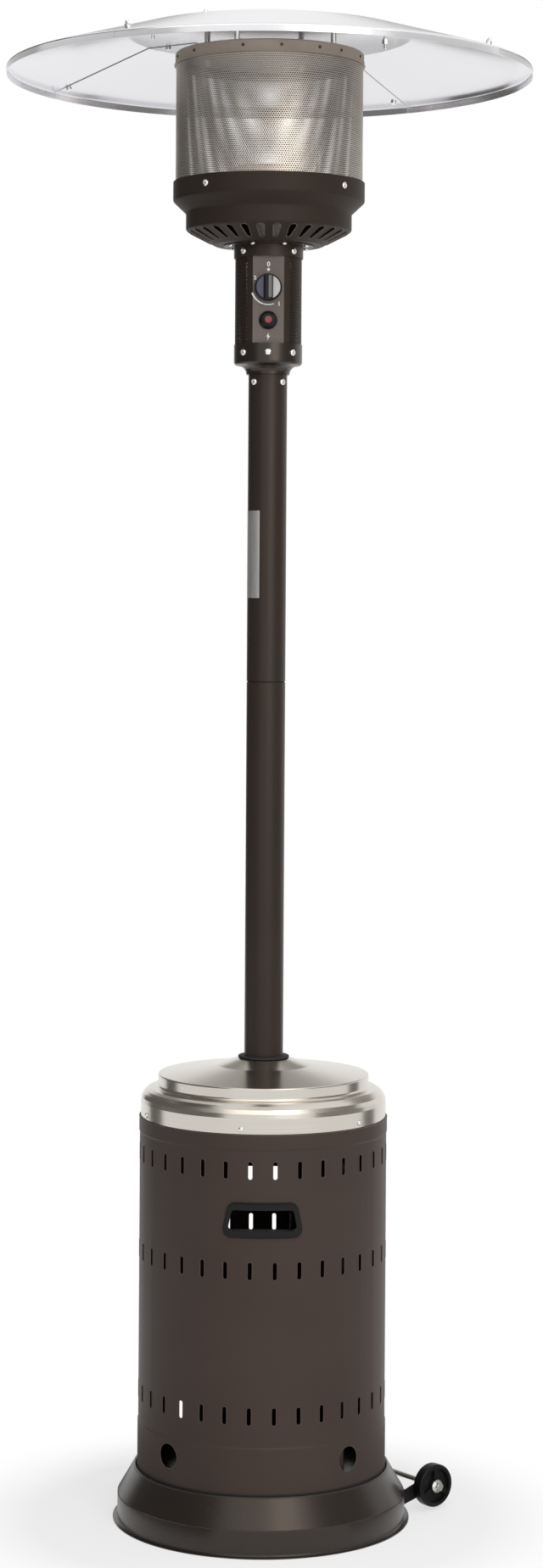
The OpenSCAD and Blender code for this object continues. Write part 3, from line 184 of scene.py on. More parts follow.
class Graph:
    """A node tree with one way to add a node."""

    def __init__(self, tree: bpy.types.NodeTree) -> None:
        """Keeps the tree."""
        self.tree = tree

    def node(self, kind: str, settings: dict[str, Any] | None = None,
             sockets: dict[int | str, Any] | None = None, out: int | str = 0) -> Value | None:
        """Adds a node.

        Args:
            kind: The node's type.
            settings: Properties of the node, set before its sockets.
            sockets: Values, links or lists of links of its inputs, by name or number.
            out: The output that is returned.

        Returns:
            The output, or nothing for a node without outputs.
        """
        made = self.tree.nodes.new(kind)
        for key, setting in (settings or {}).items():
            setattr(made, key, setting)
        for key, given in (sockets or {}).items():
            links = given if isinstance(given, list) else [given]
            for link in links:
                if isinstance(link, Value):
                    self.tree.links.new(link.socket, made.inputs[key])
                else:
                    made.inputs[key].default_value = link
        return Value(self, made.outputs[out]) if len(made.outputs) else None

    def split(self, vector: Value) -> tuple[Value, Value, Value]:
        """The three parts of a vector."""
        x = self.node("ShaderNodeSeparateXYZ", None, {0: vector}, "X")
        return x, x.out("Y"), x.out("Z")

    def join(self, x: Value | float, y: Value | float, z: Value | float) -> Value:
        """A vector of three parts."""
        return self.node("ShaderNodeCombineXYZ", None, {"X": x, "Y": y, "Z": z})


class Surface(Graph):
    """Node tree of one material round a Principled shader."""

    def __init__(self, name: str) -> None:
        """Makes an empty material.

        Args:
            name: The material's name.
        """
        self.material = bpy.data.materials.new(name)
        self.material.use_nodes = True
        super().__init__(self.material.node_tree)
        self.tree.nodes.clear()
        self.place = self.node("ShaderNodeTexCoord", None, None, "Object")

    def noise(self, waves: float, detail: float = 2.0, vector: Value | None = None) -> Value:
        """Noise from 0 to 1 with the given number of waves in a metre."""
        sockets = {"Vector": vector or self.place, "Scale": waves, "Detail": detail,
                   "Roughness": NOISE_ROUGHNESS}
        return self.node("ShaderNodeTexNoise", None, sockets)

    def blend(self, low: Any, high: Any, share: Value | float) -> Value:
        """A colour between two colours."""
        sockets = {MIX_SHARE: share, MIX_LOW: low, MIX_HIGH: high}
        return self.node("ShaderNodeMix", {"data_type": "RGBA", "clamp_factor": True}, sockets, MIX_COLOUR)

    def close(self, sockets: dict[str, Any], relief: Value, depth: float) -> bpy.types.Material:
        """Ends the tree in a Principled shader.

        Args:
            sockets: Values and links of the shader's inputs.
            relief: Height of the surface, from 0 to 1.
            depth: Depth of that relief in metres.

        Returns:
            The material.
        """
        bump = self.node("ShaderNodeBump", None, {"Strength": 1.0, "Distance": depth, "Height": relief})
        shader = self.node("ShaderNodeBsdfPrincipled", None, {**sockets, "Normal": bump})
        self.node("ShaderNodeOutputMaterial", None, {"Surface": shader})
        return self.material


@dataclass(frozen=True)
class Finish:
    """A surface finish, its slot in the record and its colour."""

    name: str
    slot: Slot
    colour: Colour
    roughness: float

    def shade(self, share: float) -> Shade:
        """The colour made darker or lighter."""
        red, green, blue = (min(1.0, part * share) for part in self.colour)
        return red, green, blue, 1.0

    def material(self) -> bpy.types.Material:
        """The finish's material, made at its first use under a name that the frame doesn't use."""
        name = self.name + "_finish"
        return bpy.data.materials.get(name) or self.build(Surface(name))

    def build(self, surface: Surface) -> bpy.types.Material:
        """Fills the surface's nodes; every finish has its own way.

        Args:
            surface: The empty node tree.

        Returns:
            The material.
        """
        raise NotImplementedError


@dataclass(frozen=True)
class PowderCoat(Finish):
    """Satin powder coat with orange peel, slow drift of colour and fine specks."""

    gloss: float

    def build(self, surface: Surface) -> bpy.types.Material:
        """Fills the surface's nodes.

        Args:
            surface: The empty node tree.

        Returns:
            The material.
        """
        drift = surface.noise(waves=7.0, detail=3.0)
        peel = surface.noise(waves=520.0)
        speck = surface.noise(waves=2400.0, detail=1.0)
        colour = surface.blend(self.shade(0.84), self.shade(1.16), drift)
        colour = surface.blend(colour, self.shade(2.4), 0.5 * speck ** 4.0)
        roughness = self.roughness - 0.06 + 0.08 * drift + 0.06 * speck
        sockets = {"Base Color": colour, "Roughness": roughness, "Specular IOR Level": self.gloss,
                   "Specular Tint": WARM_SHEEN}
        return surface.close(sockets, peel, depth=0.05 * MM)


@dataclass(frozen=True)
class SpunSteel(Finish):
    """Stainless steel with brush marks that run round the upright axis."""

    def build(self, surface: Surface) -> bpy.types.Material:
        """Fills the surface's nodes.

        Args:
            surface: The empty node tree.

        Returns:
            The material.
        """
        x, y, z = surface.split(surface.place)
        radius = (x * x + y * y) ** 0.5
        across, along, around = 1500.0, 5.0, 9.0
        marks = surface.join(radius * across + x * along, z * across + y * along, x * around)
        brush = surface.noise(waves=1.0, detail=4.0, vector=marks)
        smear = surface.noise(waves=6.0, detail=3.0)
        colour = surface.blend(self.shade(0.88), self.shade(1.08), brush)
        roughness = self.roughness - 0.04 + 0.06 * brush + 0.05 * smear
        sockets = {"Base Color": colour, "Roughness": roughness, "Metallic": 1.0}
        return surface.close(sockets, brush, depth=0.002 * MM)


@dataclass(frozen=True)
class MirrorSheet(Finish):
    """Bright rolled aluminium with rolling lines, smears and slow waves."""

    def build(self, surface: Surface) -> bpy.types.Material:
        """Fills the surface's nodes.

        Args:
            surface: The empty node tree.

        Returns:
            The material.
        """
        x, y, z = surface.split(surface.place)
        across, along = 900.0, 14.0
        rolling = surface.join(x * across, y * along, z * along)
        lines = surface.noise(waves=1.0, detail=3.0, vector=rolling)
        smear = surface.noise(waves=5.0, detail=4.0)
        wave = surface.noise(waves=7.0, detail=0.0)
        colour = surface.blend(self.shade(0.93), self.shade(1.05), 0.6 * smear + 0.4 * lines)
        roughness = self.roughness + 0.1 * smear + 0.06 * lines
        sockets = {"Base Color": colour, "Roughness": roughness, "Metallic": 1.0}
        return surface.close(sockets, wave + 0.01 * lines, depth=0.35 * MM)


@dataclass(frozen=True)
class HeatedSteel(Finish):
    """Stainless sheet with a straw and brown tint from the flame, and near-black painted shade on the faces
    inside a given radius.
    """

    tint: Colour = (0.45, 0.33, 0.22)
    painted_shade_r: float = 0.0

    def build(self, surface: Surface) -> bpy.types.Material:
        """Fills the surface's nodes.

        Args:
            surface: The empty node tree.

        Returns:
            The material.
        """
        stain = surface.noise(waves=11.0, detail=4.0)
        grain = surface.noise(waves=900.0)
        colour = surface.blend(self.shade(1.05), (*self.tint, 1.0), 0.75 * stain ** 1.6)
        colour = surface.blend(colour, self.shade(0.6), 0.35 * grain ** 2.0)
        roughness = self.roughness + 0.12 * stain + 0.08 * grain
        metallic: Value | float = 1.0
        # Faces inside the given radius are painted near black: painted shade of the screen's inside.
        if self.painted_shade_r:
            x, y, _ = surface.split(surface.place)
            radius = (x * x + y * y) ** 0.5
            painted_shade = radius.math("LESS_THAN", radius, self.painted_shade_r)
            colour = surface.blend(colour, INSIDE_PAINTED_SHADE, painted_shade)
            roughness = roughness + 0.4 * painted_shade
            metallic = 1.0 - painted_shade
        sockets = {"Base Color": colour, "Roughness": roughness, "Metallic": metallic}
        return surface.close(sockets, grain, depth=0.02 * MM)


@dataclass(frozen=True)
class PlatedMetal(Finish):
    """Plated or machined metal with fine grain and cloudy tarnish."""

    tarnish: float = 0.5

    def build(self, surface: Surface) -> bpy.types.Material:
        """Fills the surface's nodes.

        Args:
            surface: The empty node tree.

        Returns:
            The material.
        """
        cloud = surface.noise(waves=90.0, detail=3.0)
        grain = surface.noise(waves=1600.0)
        colour = surface.blend(self.shade(1.06), self.shade(0.55), self.tarnish * cloud ** 2.0)
        roughness = self.roughness - 0.05 + 0.18 * cloud + 0.05 * grain
        sockets = {"Base Color": colour, "Roughness": roughness, "Metallic": 1.0}
        return surface.close(sockets, grain, depth=0.02 * MM)


@dataclass(frozen=True)
class Moulding(Finish):
    """Moulded plastic or rubber with a fine grain and handling marks."""

    grain_depth: float = 0.03 * MM
    gloss: float = 0.5

    def build(self, surface: Surface) -> bpy.types.Material:
        """Fills the surface's nodes.

        Args:
            surface: The empty node tree.

        Returns:
            The material.
        """
        grain = surface.noise(waves=1300.0)
        scuff = surface.noise(waves=45.0, detail=4.0)
        colour = surface.blend(self.shade(0.85), self.shade(1.5), 0.8 * scuff ** 2.0)
        roughness = self.roughness - 0.04 + 0.14 * scuff + 0.06 * grain
        sockets = {"Base Color": colour, "Roughness": roughness, "Specular IOR Level": self.gloss}
        return surface.close(sockets, grain, self.grain_depth)


@dataclass(frozen=True)
class Print(Finish):
    """Screen print with the uneven cover of a thin ink."""

    def build(self, surface: Surface) -> bpy.types.Material:
        """Fills the surface's nodes.

        Args:
            surface: The empty node tree.

        Returns:
            The material.
        """
        cover = surface.noise(waves=1500.0, detail=3.0)
        colour = surface.blend(self.shade(0.8), self.shade(1.05), cover)
        sockets = {"Base Color": colour, "Roughness": self.roughness + 0.1 * cover}
        return surface.close(sockets, cover, depth=0.01 * MM)


BRONZE = PowderCoat("bronze_powder_coat", Slot.BRONZE, (0.048, 0.034, 0.029), 0.46, 0.22)
DEEP_BRONZE = PowderCoat("deep_bronze_powder_coat", Slot.BRONZE, (0.027, 0.0195, 0.0155), 0.36, 0.25)
GLOSSY_BRONZE = PowderCoat("glossy_bronze_powder_coat", Slot.BRONZE, (0.015, 0.011, 0.0092), 0.27, 0.55)
BOWL_BRONZE = PowderCoat("satin_bronze_powder_coat", Slot.BRONZE, (0.027, 0.0195, 0.0155), 0.5, 0.15)
# A lighter copy of the bronze that paints a highlight on the rims of the slots.
HIGHLIGHT_EDGE_BRONZE = PowderCoat("painted_highlight_edge_bronze", Slot.BRONZE, (0.085, 0.068, 0.060), 0.4, 0.4)
PANEL_GREY = PowderCoat("panel_grey_paint", Slot.PANEL, (0.125, 0.105, 0.096), 0.45, 0.3)
BLACK_STEEL = PowderCoat("black_bracket_paint", Slot.BLACK_STEEL, (0.010, 0.010, 0.011), 0.45, 0.15)
DOME_STEEL = SpunSteel("spun_dome_steel", Slot.DOME, (0.66, 0.625, 0.565), 0.2)
EMITTER_STEEL = HeatedSteel("emitter_steel", Slot.EMITTER, (0.64, 0.605, 0.56), 0.3, (0.36, 0.285, 0.215))
CAP_STEEL = HeatedSteel("cap_steel", Slot.EMITTER, (0.56, 0.51, 0.45), 0.62, (0.33, 0.26, 0.19))
TUBE_ENAMEL = PowderCoat("pale_tube_enamel", Slot.EMITTER, (0.93, 0.925, 0.91), 0.3, 0.5)
MIRROR = MirrorSheet("bright_reflector_sheet", Slot.REFLECTOR, (0.80, 0.795, 0.82), 0.1)
ZINC = PlatedMetal("bright_zinc", Slot.ZINC, (0.86, 0.855, 0.84), 0.22, 0.35)
DARK_RIVET = PlatedMetal("dark_rivet_steel", Slot.ZINC, (0.10, 0.085, 0.075), 0.4)
BRASS = PlatedMetal("machined_brass", Slot.BRASS, (0.60, 0.42, 0.16), 0.28)
# Shaded, lit and half-lit copies of one knob metal, which paint the knob's reflections.
KNOB_BRIGHT_PAINTED_REFLECTION = PlatedMetal("knob_bright_painted_reflection", Slot.ZINC, (0.36, 0.365, 0.38), 0.3, 0.3)
KNOB_DARK_PAINTED_REFLECTION = PlatedMetal("knob_dark_painted_reflection", Slot.ZINC, (0.075, 0.08, 0.11), 0.3, 0.3)
KNOB_GREY_PAINTED_REFLECTION = PlatedMetal("knob_grey_painted_reflection", Slot.ZINC, (0.13, 0.132, 0.14), 0.3, 0.3)
PLATE_METAL = PlatedMetal("blank_plate_metal", Slot.ZINC, (0.62, 0.62, 0.63), 0.4, 0.3)
BLACK_PLASTIC = Moulding("black_plastic", Slot.PLASTIC, (0.007, 0.007, 0.008), 0.32, 0.03 * MM, 0.2)
RED_PLASTIC = Moulding("red_plastic", Slot.RED, (0.22, 0.032, 0.042), 0.24)
RUBBER = Moulding("black_rubber", Slot.RUBBER, (0.014, 0.014, 0.014), 0.6, 0.06 * MM, 0.35)
WHITE_INK = Print("white_ink", Slot.PANEL, (0.82, 0.81, 0.79), 0.5)

PLAIN_FINISHES = (BRONZE, PANEL_GREY, BLACK_STEEL, DOME_STEEL, EMITTER_STEEL, MIRROR, ZINC, BRASS,
                  BLACK_PLASTIC, RED_PLASTIC, RUBBER)


def put(name: str, data: bpy.types.ID) -> bpy.types.Object:
    """Sets a new object in the scene.

    Args:
        name: The object's name.
        data: Its mesh, curve, camera or light.

    Returns:
        The object.
    """
    made = bpy.data.objects.new(name, data)
    bpy.context.scene.collection.objects.link(made)
    return made


def baked(holder: bpy.types.Object) -> bpy.types.Mesh:
    """Turns an object into a plain mesh.

    Args:
        holder: The object, which is taken out of the scene.

    Returns:
        Its mesh after its modifiers.
    """
    graph = bpy.context.evaluated_depsgraph_get()
    mesh = bpy.data.meshes.new_from_object(holder.evaluated_get(graph))
    bpy.data.objects.remove(holder)
    return mesh


def as_mesh(name: str, shape: bmesh.types.BMesh) -> bpy.types.Mesh:
    """Turns a shape into a plain mesh.

    Args:
        name: The mesh's name.
        shape: The shape, which is used up.

    Returns:
        The mesh.
    """
    mesh = bpy.data.meshes.new(name)
    shape.to_mesh(mesh)
    shape.free()
    return mesh


class Growth(Graph):
    """A Geometry Nodes tree with named inputs that ends in Realize Instances and Set Material."""

    def __init__(self, name: str, inputs: dict[str, str]) -> None:
        """Makes a tree.

        Args:
            name: The tree's name.
            inputs: Socket types by the input's name.
        """
        tree = bpy.data.node_groups.new(name, "GeometryNodeTree")
        super().__init__(tree)
        self.ids: dict[str, str] = {}
        for label, kind in inputs.items():
            item = tree.interface.new_socket(label, in_out="INPUT", socket_type=kind)
            self.ids[label] = item.identifier
        tree.interface.new_socket("Geometry", in_out="OUTPUT", socket_type="NodeSocketGeometry")
        self.given = self.node("NodeGroupInput").out

    def close(self, geometry: Value) -> None:
        """Ends the tree.

        Args:
            geometry: What the tree has made.
        """
        real = self.node("GeometryNodeRealizeInstances", None, {"Geometry": geometry})
        sockets = {"Geometry": real, "Material": self.given("Material")}
        dressed = self.node("GeometryNodeSetMaterial", None, sockets)
        self.node("NodeGroupOutput", None, {0: dressed})

    def grow(self, carrier: bpy.types.Mesh, values: dict[str, Any]) -> bpy.types.Mesh:
        """Runs the tree once.

        Args:
            carrier: Mesh that the tree starts from.
            values: The inputs' values by name.

        Returns:
            A plain mesh.
        """
        holder = put("growth_carrier", carrier)
        modifier = holder.modifiers.new("growth", "NODES")
        modifier.node_group = self.tree
        for label, value in values.items():
            modifier[self.ids[label]] = value
        return baked(holder)


class PerforatedSheet(Growth):
    """Rolled sheet of hexagonal cells, each with a hole through its middle."""

    def __init__(self) -> None:
        """Builds the tree."""
        number = "NodeSocketFloat"
        super().__init__("perforated_sheet", {
            "Inner Radius": number, "Thickness": number, "First Angle": number, "Cell Angle": number,
            "Cells": "NodeSocketInt", "Rows": "NodeSocketInt", "Foot": number, "Hole Share": number,
            "Material": "NodeSocketMaterial"})
        radius = self.given("Inner Radius")
        pitch = self.given("Cell Angle") * radius
        corner = pitch / math.sqrt(3)
        row = corner * HEX_ROW
        width = (self.given("Cells") - 1) * pitch
        height = (self.given("Rows") - 1) * row
        flat = self.lattice(pitch, row, width, height)
        tile = self.tile(corner)
        placed = self.node("GeometryNodeInstanceOnPoints", None, {"Points": flat, "Instance": tile})
        sheet = self.node("GeometryNodeRealizeInstances", None, {"Geometry": placed})
        sheet = self.node("GeometryNodeMergeByDistance", None, {"Geometry": sheet, "Distance": CELL_WELD})
        self.close(self.rolled(sheet, radius, width, height))

    def tile(self, corner: Value) -> Value:
        """Makes one hexagonal cell with its hole, flat on the ground plane.

        Args:
            corner: Distance from the cell's middle to a corner.

        Returns:
            The cell.
        """
        outline = self.node("GeometryNodeMeshCircle", {"fill_type": "NGON"},
                            {"Vertices": HEX_SIDES, "Radius": corner})
        upright = {"Geometry": outline, "Rotation": (0.0, 0.0, math.pi / HEX_SIDES)}
        outline = self.node("GeometryNodeTransform", None, upright)
        inset = self.node("GeometryNodeExtrudeMesh", {"mode": "FACES"},
                          {"Mesh": outline, "Offset Scale": 0.0, "Individual": True}, "Mesh")
        middle = inset.out("Top")
        spot = self.node("GeometryNodeInputPosition")
        shrunk = self.node("ShaderNodeVectorMath", {"operation": "SCALE"},
                           {0: spot, "Scale": self.given("Hole Share")})
        inset = self.node("GeometryNodeSetPosition", None,
                          {"Geometry": inset, "Selection": middle, "Position": shrunk})
        return self.node("GeometryNodeDeleteGeometry", {"domain": "FACE"},
                         {"Geometry": inset, "Selection": middle})

    def lattice(self, pitch: Value, row: Value, width: Value, height: Value) -> Value:
        """Makes the points of a flat lattice whose odd rows are moved by half a pitch.

        Args:
            pitch: Distance between the points of a row.
            row: Distance between rows.
            width: Length of a row.
            height: Distance from the first row to the last.

        Returns:
            The points.
        """
        grid = self.node("GeometryNodeMeshGrid", None, {
            "Size X": width, "Size Y": height, "Vertices X": self.given("Cells"),
            "Vertices Y": self.given("Rows")})
        _, y, _ = self.split(self.node("GeometryNodeInputPosition"))
        index = y.math("ROUND", (y + height / 2) / row)
        odd = index.math("MODULO", index, 2.0)
        offset = self.join((odd - 0.5) * pitch * 0.5, 0.0, 0.0)
        return self.node("GeometryNodeSetPosition", None, {"Geometry": grid, "Offset": offset})

    def rolled(self, sheet: Value, radius: Value, width: Value, height: Value) -> Value:
        """Rolls the flat sheet round the upright axis and gives it its thickness.

        Args:
            sheet: The flat sheet.
            radius: Inner radius of the roll.
            width: Length of the sheet's rows.
            height: Distance from its first row to its last.

        Returns:
            The closed sheet.
        """
        x, y, _ = self.split(self.node("GeometryNodeInputPosition"))
        angle = self.given("First Angle") + (x + width / 2) / radius
        spot = self.join(radius * angle.math("COSINE", angle), radius * angle.math("SINE", angle),
                         self.given("Foot") + y + height / 2)
        inner = self.node("GeometryNodeSetPosition", None, {"Geometry": sheet, "Position": spot})
        x, y, _ = self.split(self.node("GeometryNodeInputPosition"))
        away = self.node("ShaderNodeVectorMath", {"operation": "NORMALIZE"}, {0: self.join(x, y, 0.0)})
        outer = self.node("GeometryNodeExtrudeMesh", {"mode": "FACES"}, {
            "Mesh": inner, "Offset": away, "Offset Scale": self.given("Thickness"), "Individual": False})
        back = self.node("GeometryNodeFlipFaces", None, {"Mesh": inner})
        both = self.node("GeometryNodeJoinGeometry", None, {"Geometry": [outer, back]})
        return self.node("GeometryNodeMergeByDistance", None, {"Geometry": both, "Distance": SKIN_WELD})


class Stamped(Growth):
    """One shape set on many points, each turned to the point's own facing."""

    def __init__(self) -> None:
        """Builds the tree."""
        super().__init__("stamped", {
            "Points": "NodeSocketGeometry", "Stamp": "NodeSocketObject", "Turn": "NodeSocketFloat",
            "Seed": "NodeSocketInt", "Material": "NodeSocketMaterial"})
        shape = self.node("GeometryNodeObjectInfo", {"transform_space": "ORIGINAL"},
                          {"Object": self.given("Stamp")}, "Geometry")
        facing = self.node("GeometryNodeInputNamedAttribute", {"data_type": "FLOAT_VECTOR"},
                           {"Name": "facing"}, "Attribute")
        aimed = self.node("FunctionNodeAlignRotationToVector", {"axis": "Z"}, {"Vector": facing})
        chance = self.node("FunctionNodeRandomValue", {"data_type": "FLOAT"},
                           {"Min": 0.0, "Max": self.given("Turn"), "Seed": self.given("Seed")}, 1)
        spin = self.node("FunctionNodeAxisAngleToRotation", None, {"Axis": (0, 0, 1), "Angle": chance})
        turned = self.node("FunctionNodeRotateRotation", {"rotation_space": "LOCAL"},
                           {"Rotation": aimed, "Rotate By": spin})
        self.close(self.node("GeometryNodeInstanceOnPoints", None, {
            "Points": self.given("Points"), "Instance": shape, "Rotation": turned}))


class PipedEdge(Growth):
    """A round bead along every line of edges."""

    def __init__(self) -> None:
        """Builds the tree."""
        super().__init__("piped_edge", {
            "Edges": "NodeSocketGeometry", "Radius": "NodeSocketFloat", "Sides": "NodeSocketInt",
            "Material": "NodeSocketMaterial"})
        line = self.node("GeometryNodeMeshToCurve", None, {"Mesh": self.given("Edges")})
        ring = self.node("GeometryNodeCurvePrimitiveCircle", {"mode": "RADIUS"},
                         {"Resolution": self.given("Sides"), "Radius": self.given("Radius")})
        self.close(self.node("GeometryNodeCurveToMesh", None, {"Curve": line, "Profile Curve": ring}))


def ring_point(radius: float, bearing: float, z: float) -> Vector:
    """A point at a bearing in degrees, counted from the front towards the right."""
    turn = math.radians(bearing)
    return Vector((radius * math.sin(turn), -radius * math.cos(turn), z))


def bridge(mesh: bmesh.types.BMesh, low: Sequence[bmesh.types.BMVert],
           high: Sequence[bmesh.types.BMVert]) -> None:
    """Adds the faces between two rings of points.

    Args:
        mesh: Mesh that gets the faces.
        low: First ring, or a single point.
        high: Second ring, or a single point.
    """
    for step in range(max(len(low), len(high))):
        after = step + 1
        corners = [low[step % len(low)], low[after % len(low)],
                   high[after % len(high)], high[step % len(high)]]
        mesh.faces.new(list(dict.fromkeys(corners)))


def turned_solid(profile: Sequence[Point], steps: int) -> bmesh.types.BMesh:
    """A solid of revolution round the upright axis.

    Args:
        profile: Closed loop of radius and height, or an open line that starts and ends on the axis.
        steps: Steps in a turn.

    Returns:
        The mesh.
    """
    mesh = bmesh.new()
    rings = []
    for radius, z in profile:
        count = steps if radius > 0 else 1
        angles = [math.tau * step / steps for step in range(count)]
        rings.append([mesh.verts.new((radius * math.cos(a), radius * math.sin(a), z)) for a in angles])
    on_axis = len(rings[0]) == 1 and len(rings[-1]) == 1
    pairs = list(zip(rings, rings[1:]))
    if not on_axis:
        pairs.append((rings[-1], rings[0]))
    for low, high in pairs:
        bridge(mesh, low, high)
    bmesh.ops.recalc_face_normals(mesh, faces=mesh.faces)
    return mesh


def rolled_strip(inner: float, outer: float, bearings: Point, levels: Point, steps: int) -> bmesh.types.BMesh:
    """A closed curved strip of sheet.

    Args:
        inner: Inner radius.
        outer: Outer radius.
        bearings: First and last bearing in degrees.
        levels: Lowest and highest height.
        steps: Steps along the arc.

    Returns:
        The mesh.
    """
    mesh = bmesh.new()
    rows = []
    for step in range(steps + 1):
        bearing = bearings[0] + (bearings[1] - bearings[0]) * step / steps
        corners = [(inner, levels[0]), (outer, levels[0]), (outer, levels[1]), (inner, levels[1])]
        rows.append([mesh.verts.new(ring_point(radius, bearing, z)) for radius, z in corners])
    for one, two in zip(rows, rows[1:]):
        bridge(mesh, one, two)
    mesh.faces.new(rows[0])
    mesh.faces.new(rows[-1])
    bmesh.ops.recalc_face_normals(mesh, faces=mesh.faces)
    return mesh


def front_plate(mesh: bmesh.types.BMesh, outline: Sequence[Point], back: float, front: float) -> None:
    """Adds a flat plate that faces the front.

    Args:
        mesh: Mesh that gets the plate.
        outline: Corners as x and z.
        back: Its back's distance along Y.
        front: Its front's distance along Y.
    """
    near = [mesh.verts.new((x, front, z)) for x, z in outline]
    far = [mesh.verts.new((x, back, z)) for x, z in outline]
    made = [mesh.faces.new(near), mesh.faces.new(far)]
    for k in range(len(outline)):
        after = (k + 1) % len(outline)
        made.append(mesh.faces.new((near[k], near[after], far[after], far[k])))
    bmesh.ops.recalc_face_normals(mesh, faces=made)


def cross_head(radius: float, height: float, shank: float, length: float) -> bmesh.types.BMesh:
    """A pan-head screw with a cross recess, its head's seat at the origin and facing +Z.

    Args:
        radius: Radius of the head.
        height: Height of the head.
        shank: Radius of the shank.
        length: Length of the shank.

    Returns:
        The mesh.
    """
    steps = 32
    shares = (0.14, 0.26, 0.4, 0.54, 0.62, 0.74, 0.88, 0.97)
    crown_drop, recess_depth, rim_share = 0.5, 0.5, 0.4
    arm_half_w, arm_reach = 0.15, 0.58
    angles = [math.tau * step / steps for step in range(steps)]
    mesh = bmesh.new()

    def level(share: float, angle: float) -> float:
        """Gives the height of the head's top, with the recess taken out.

        Args:
            share: Distance from the middle as a share of the radius.
            angle: Angle round the middle.

        Returns:
            The height.
        """
        crown = height * (1 - crown_drop * share ** 4)
        x, y = abs(share * math.cos(angle)), abs(share * math.sin(angle))
        in_arm = min(x, y) < arm_half_w and max(x, y) < arm_reach
        return crown - height * recess_depth if in_arm else crown

    rings = []
    for share in shares:
        rings.append([mesh.verts.new((radius * share * math.cos(a), radius * share * math.sin(a),
                                      level(share, a))) for a in angles])
    for out, z in ((radius, rim_share * height), (radius, 0.0), (shank, 0.0), (shank, -length)):
        rings.append([mesh.verts.new((out * math.cos(a), out * math.sin(a), z)) for a in angles])
    middle = [mesh.verts.new((0, 0, level(0.0, 0.0)))]
    for low, high in zip([middle, *rings], rings):
        bridge(mesh, low, high)
    mesh.faces.new(rings[-1])
    bmesh.ops.recalc_face_normals(mesh, faces=mesh.faces)
    return mesh


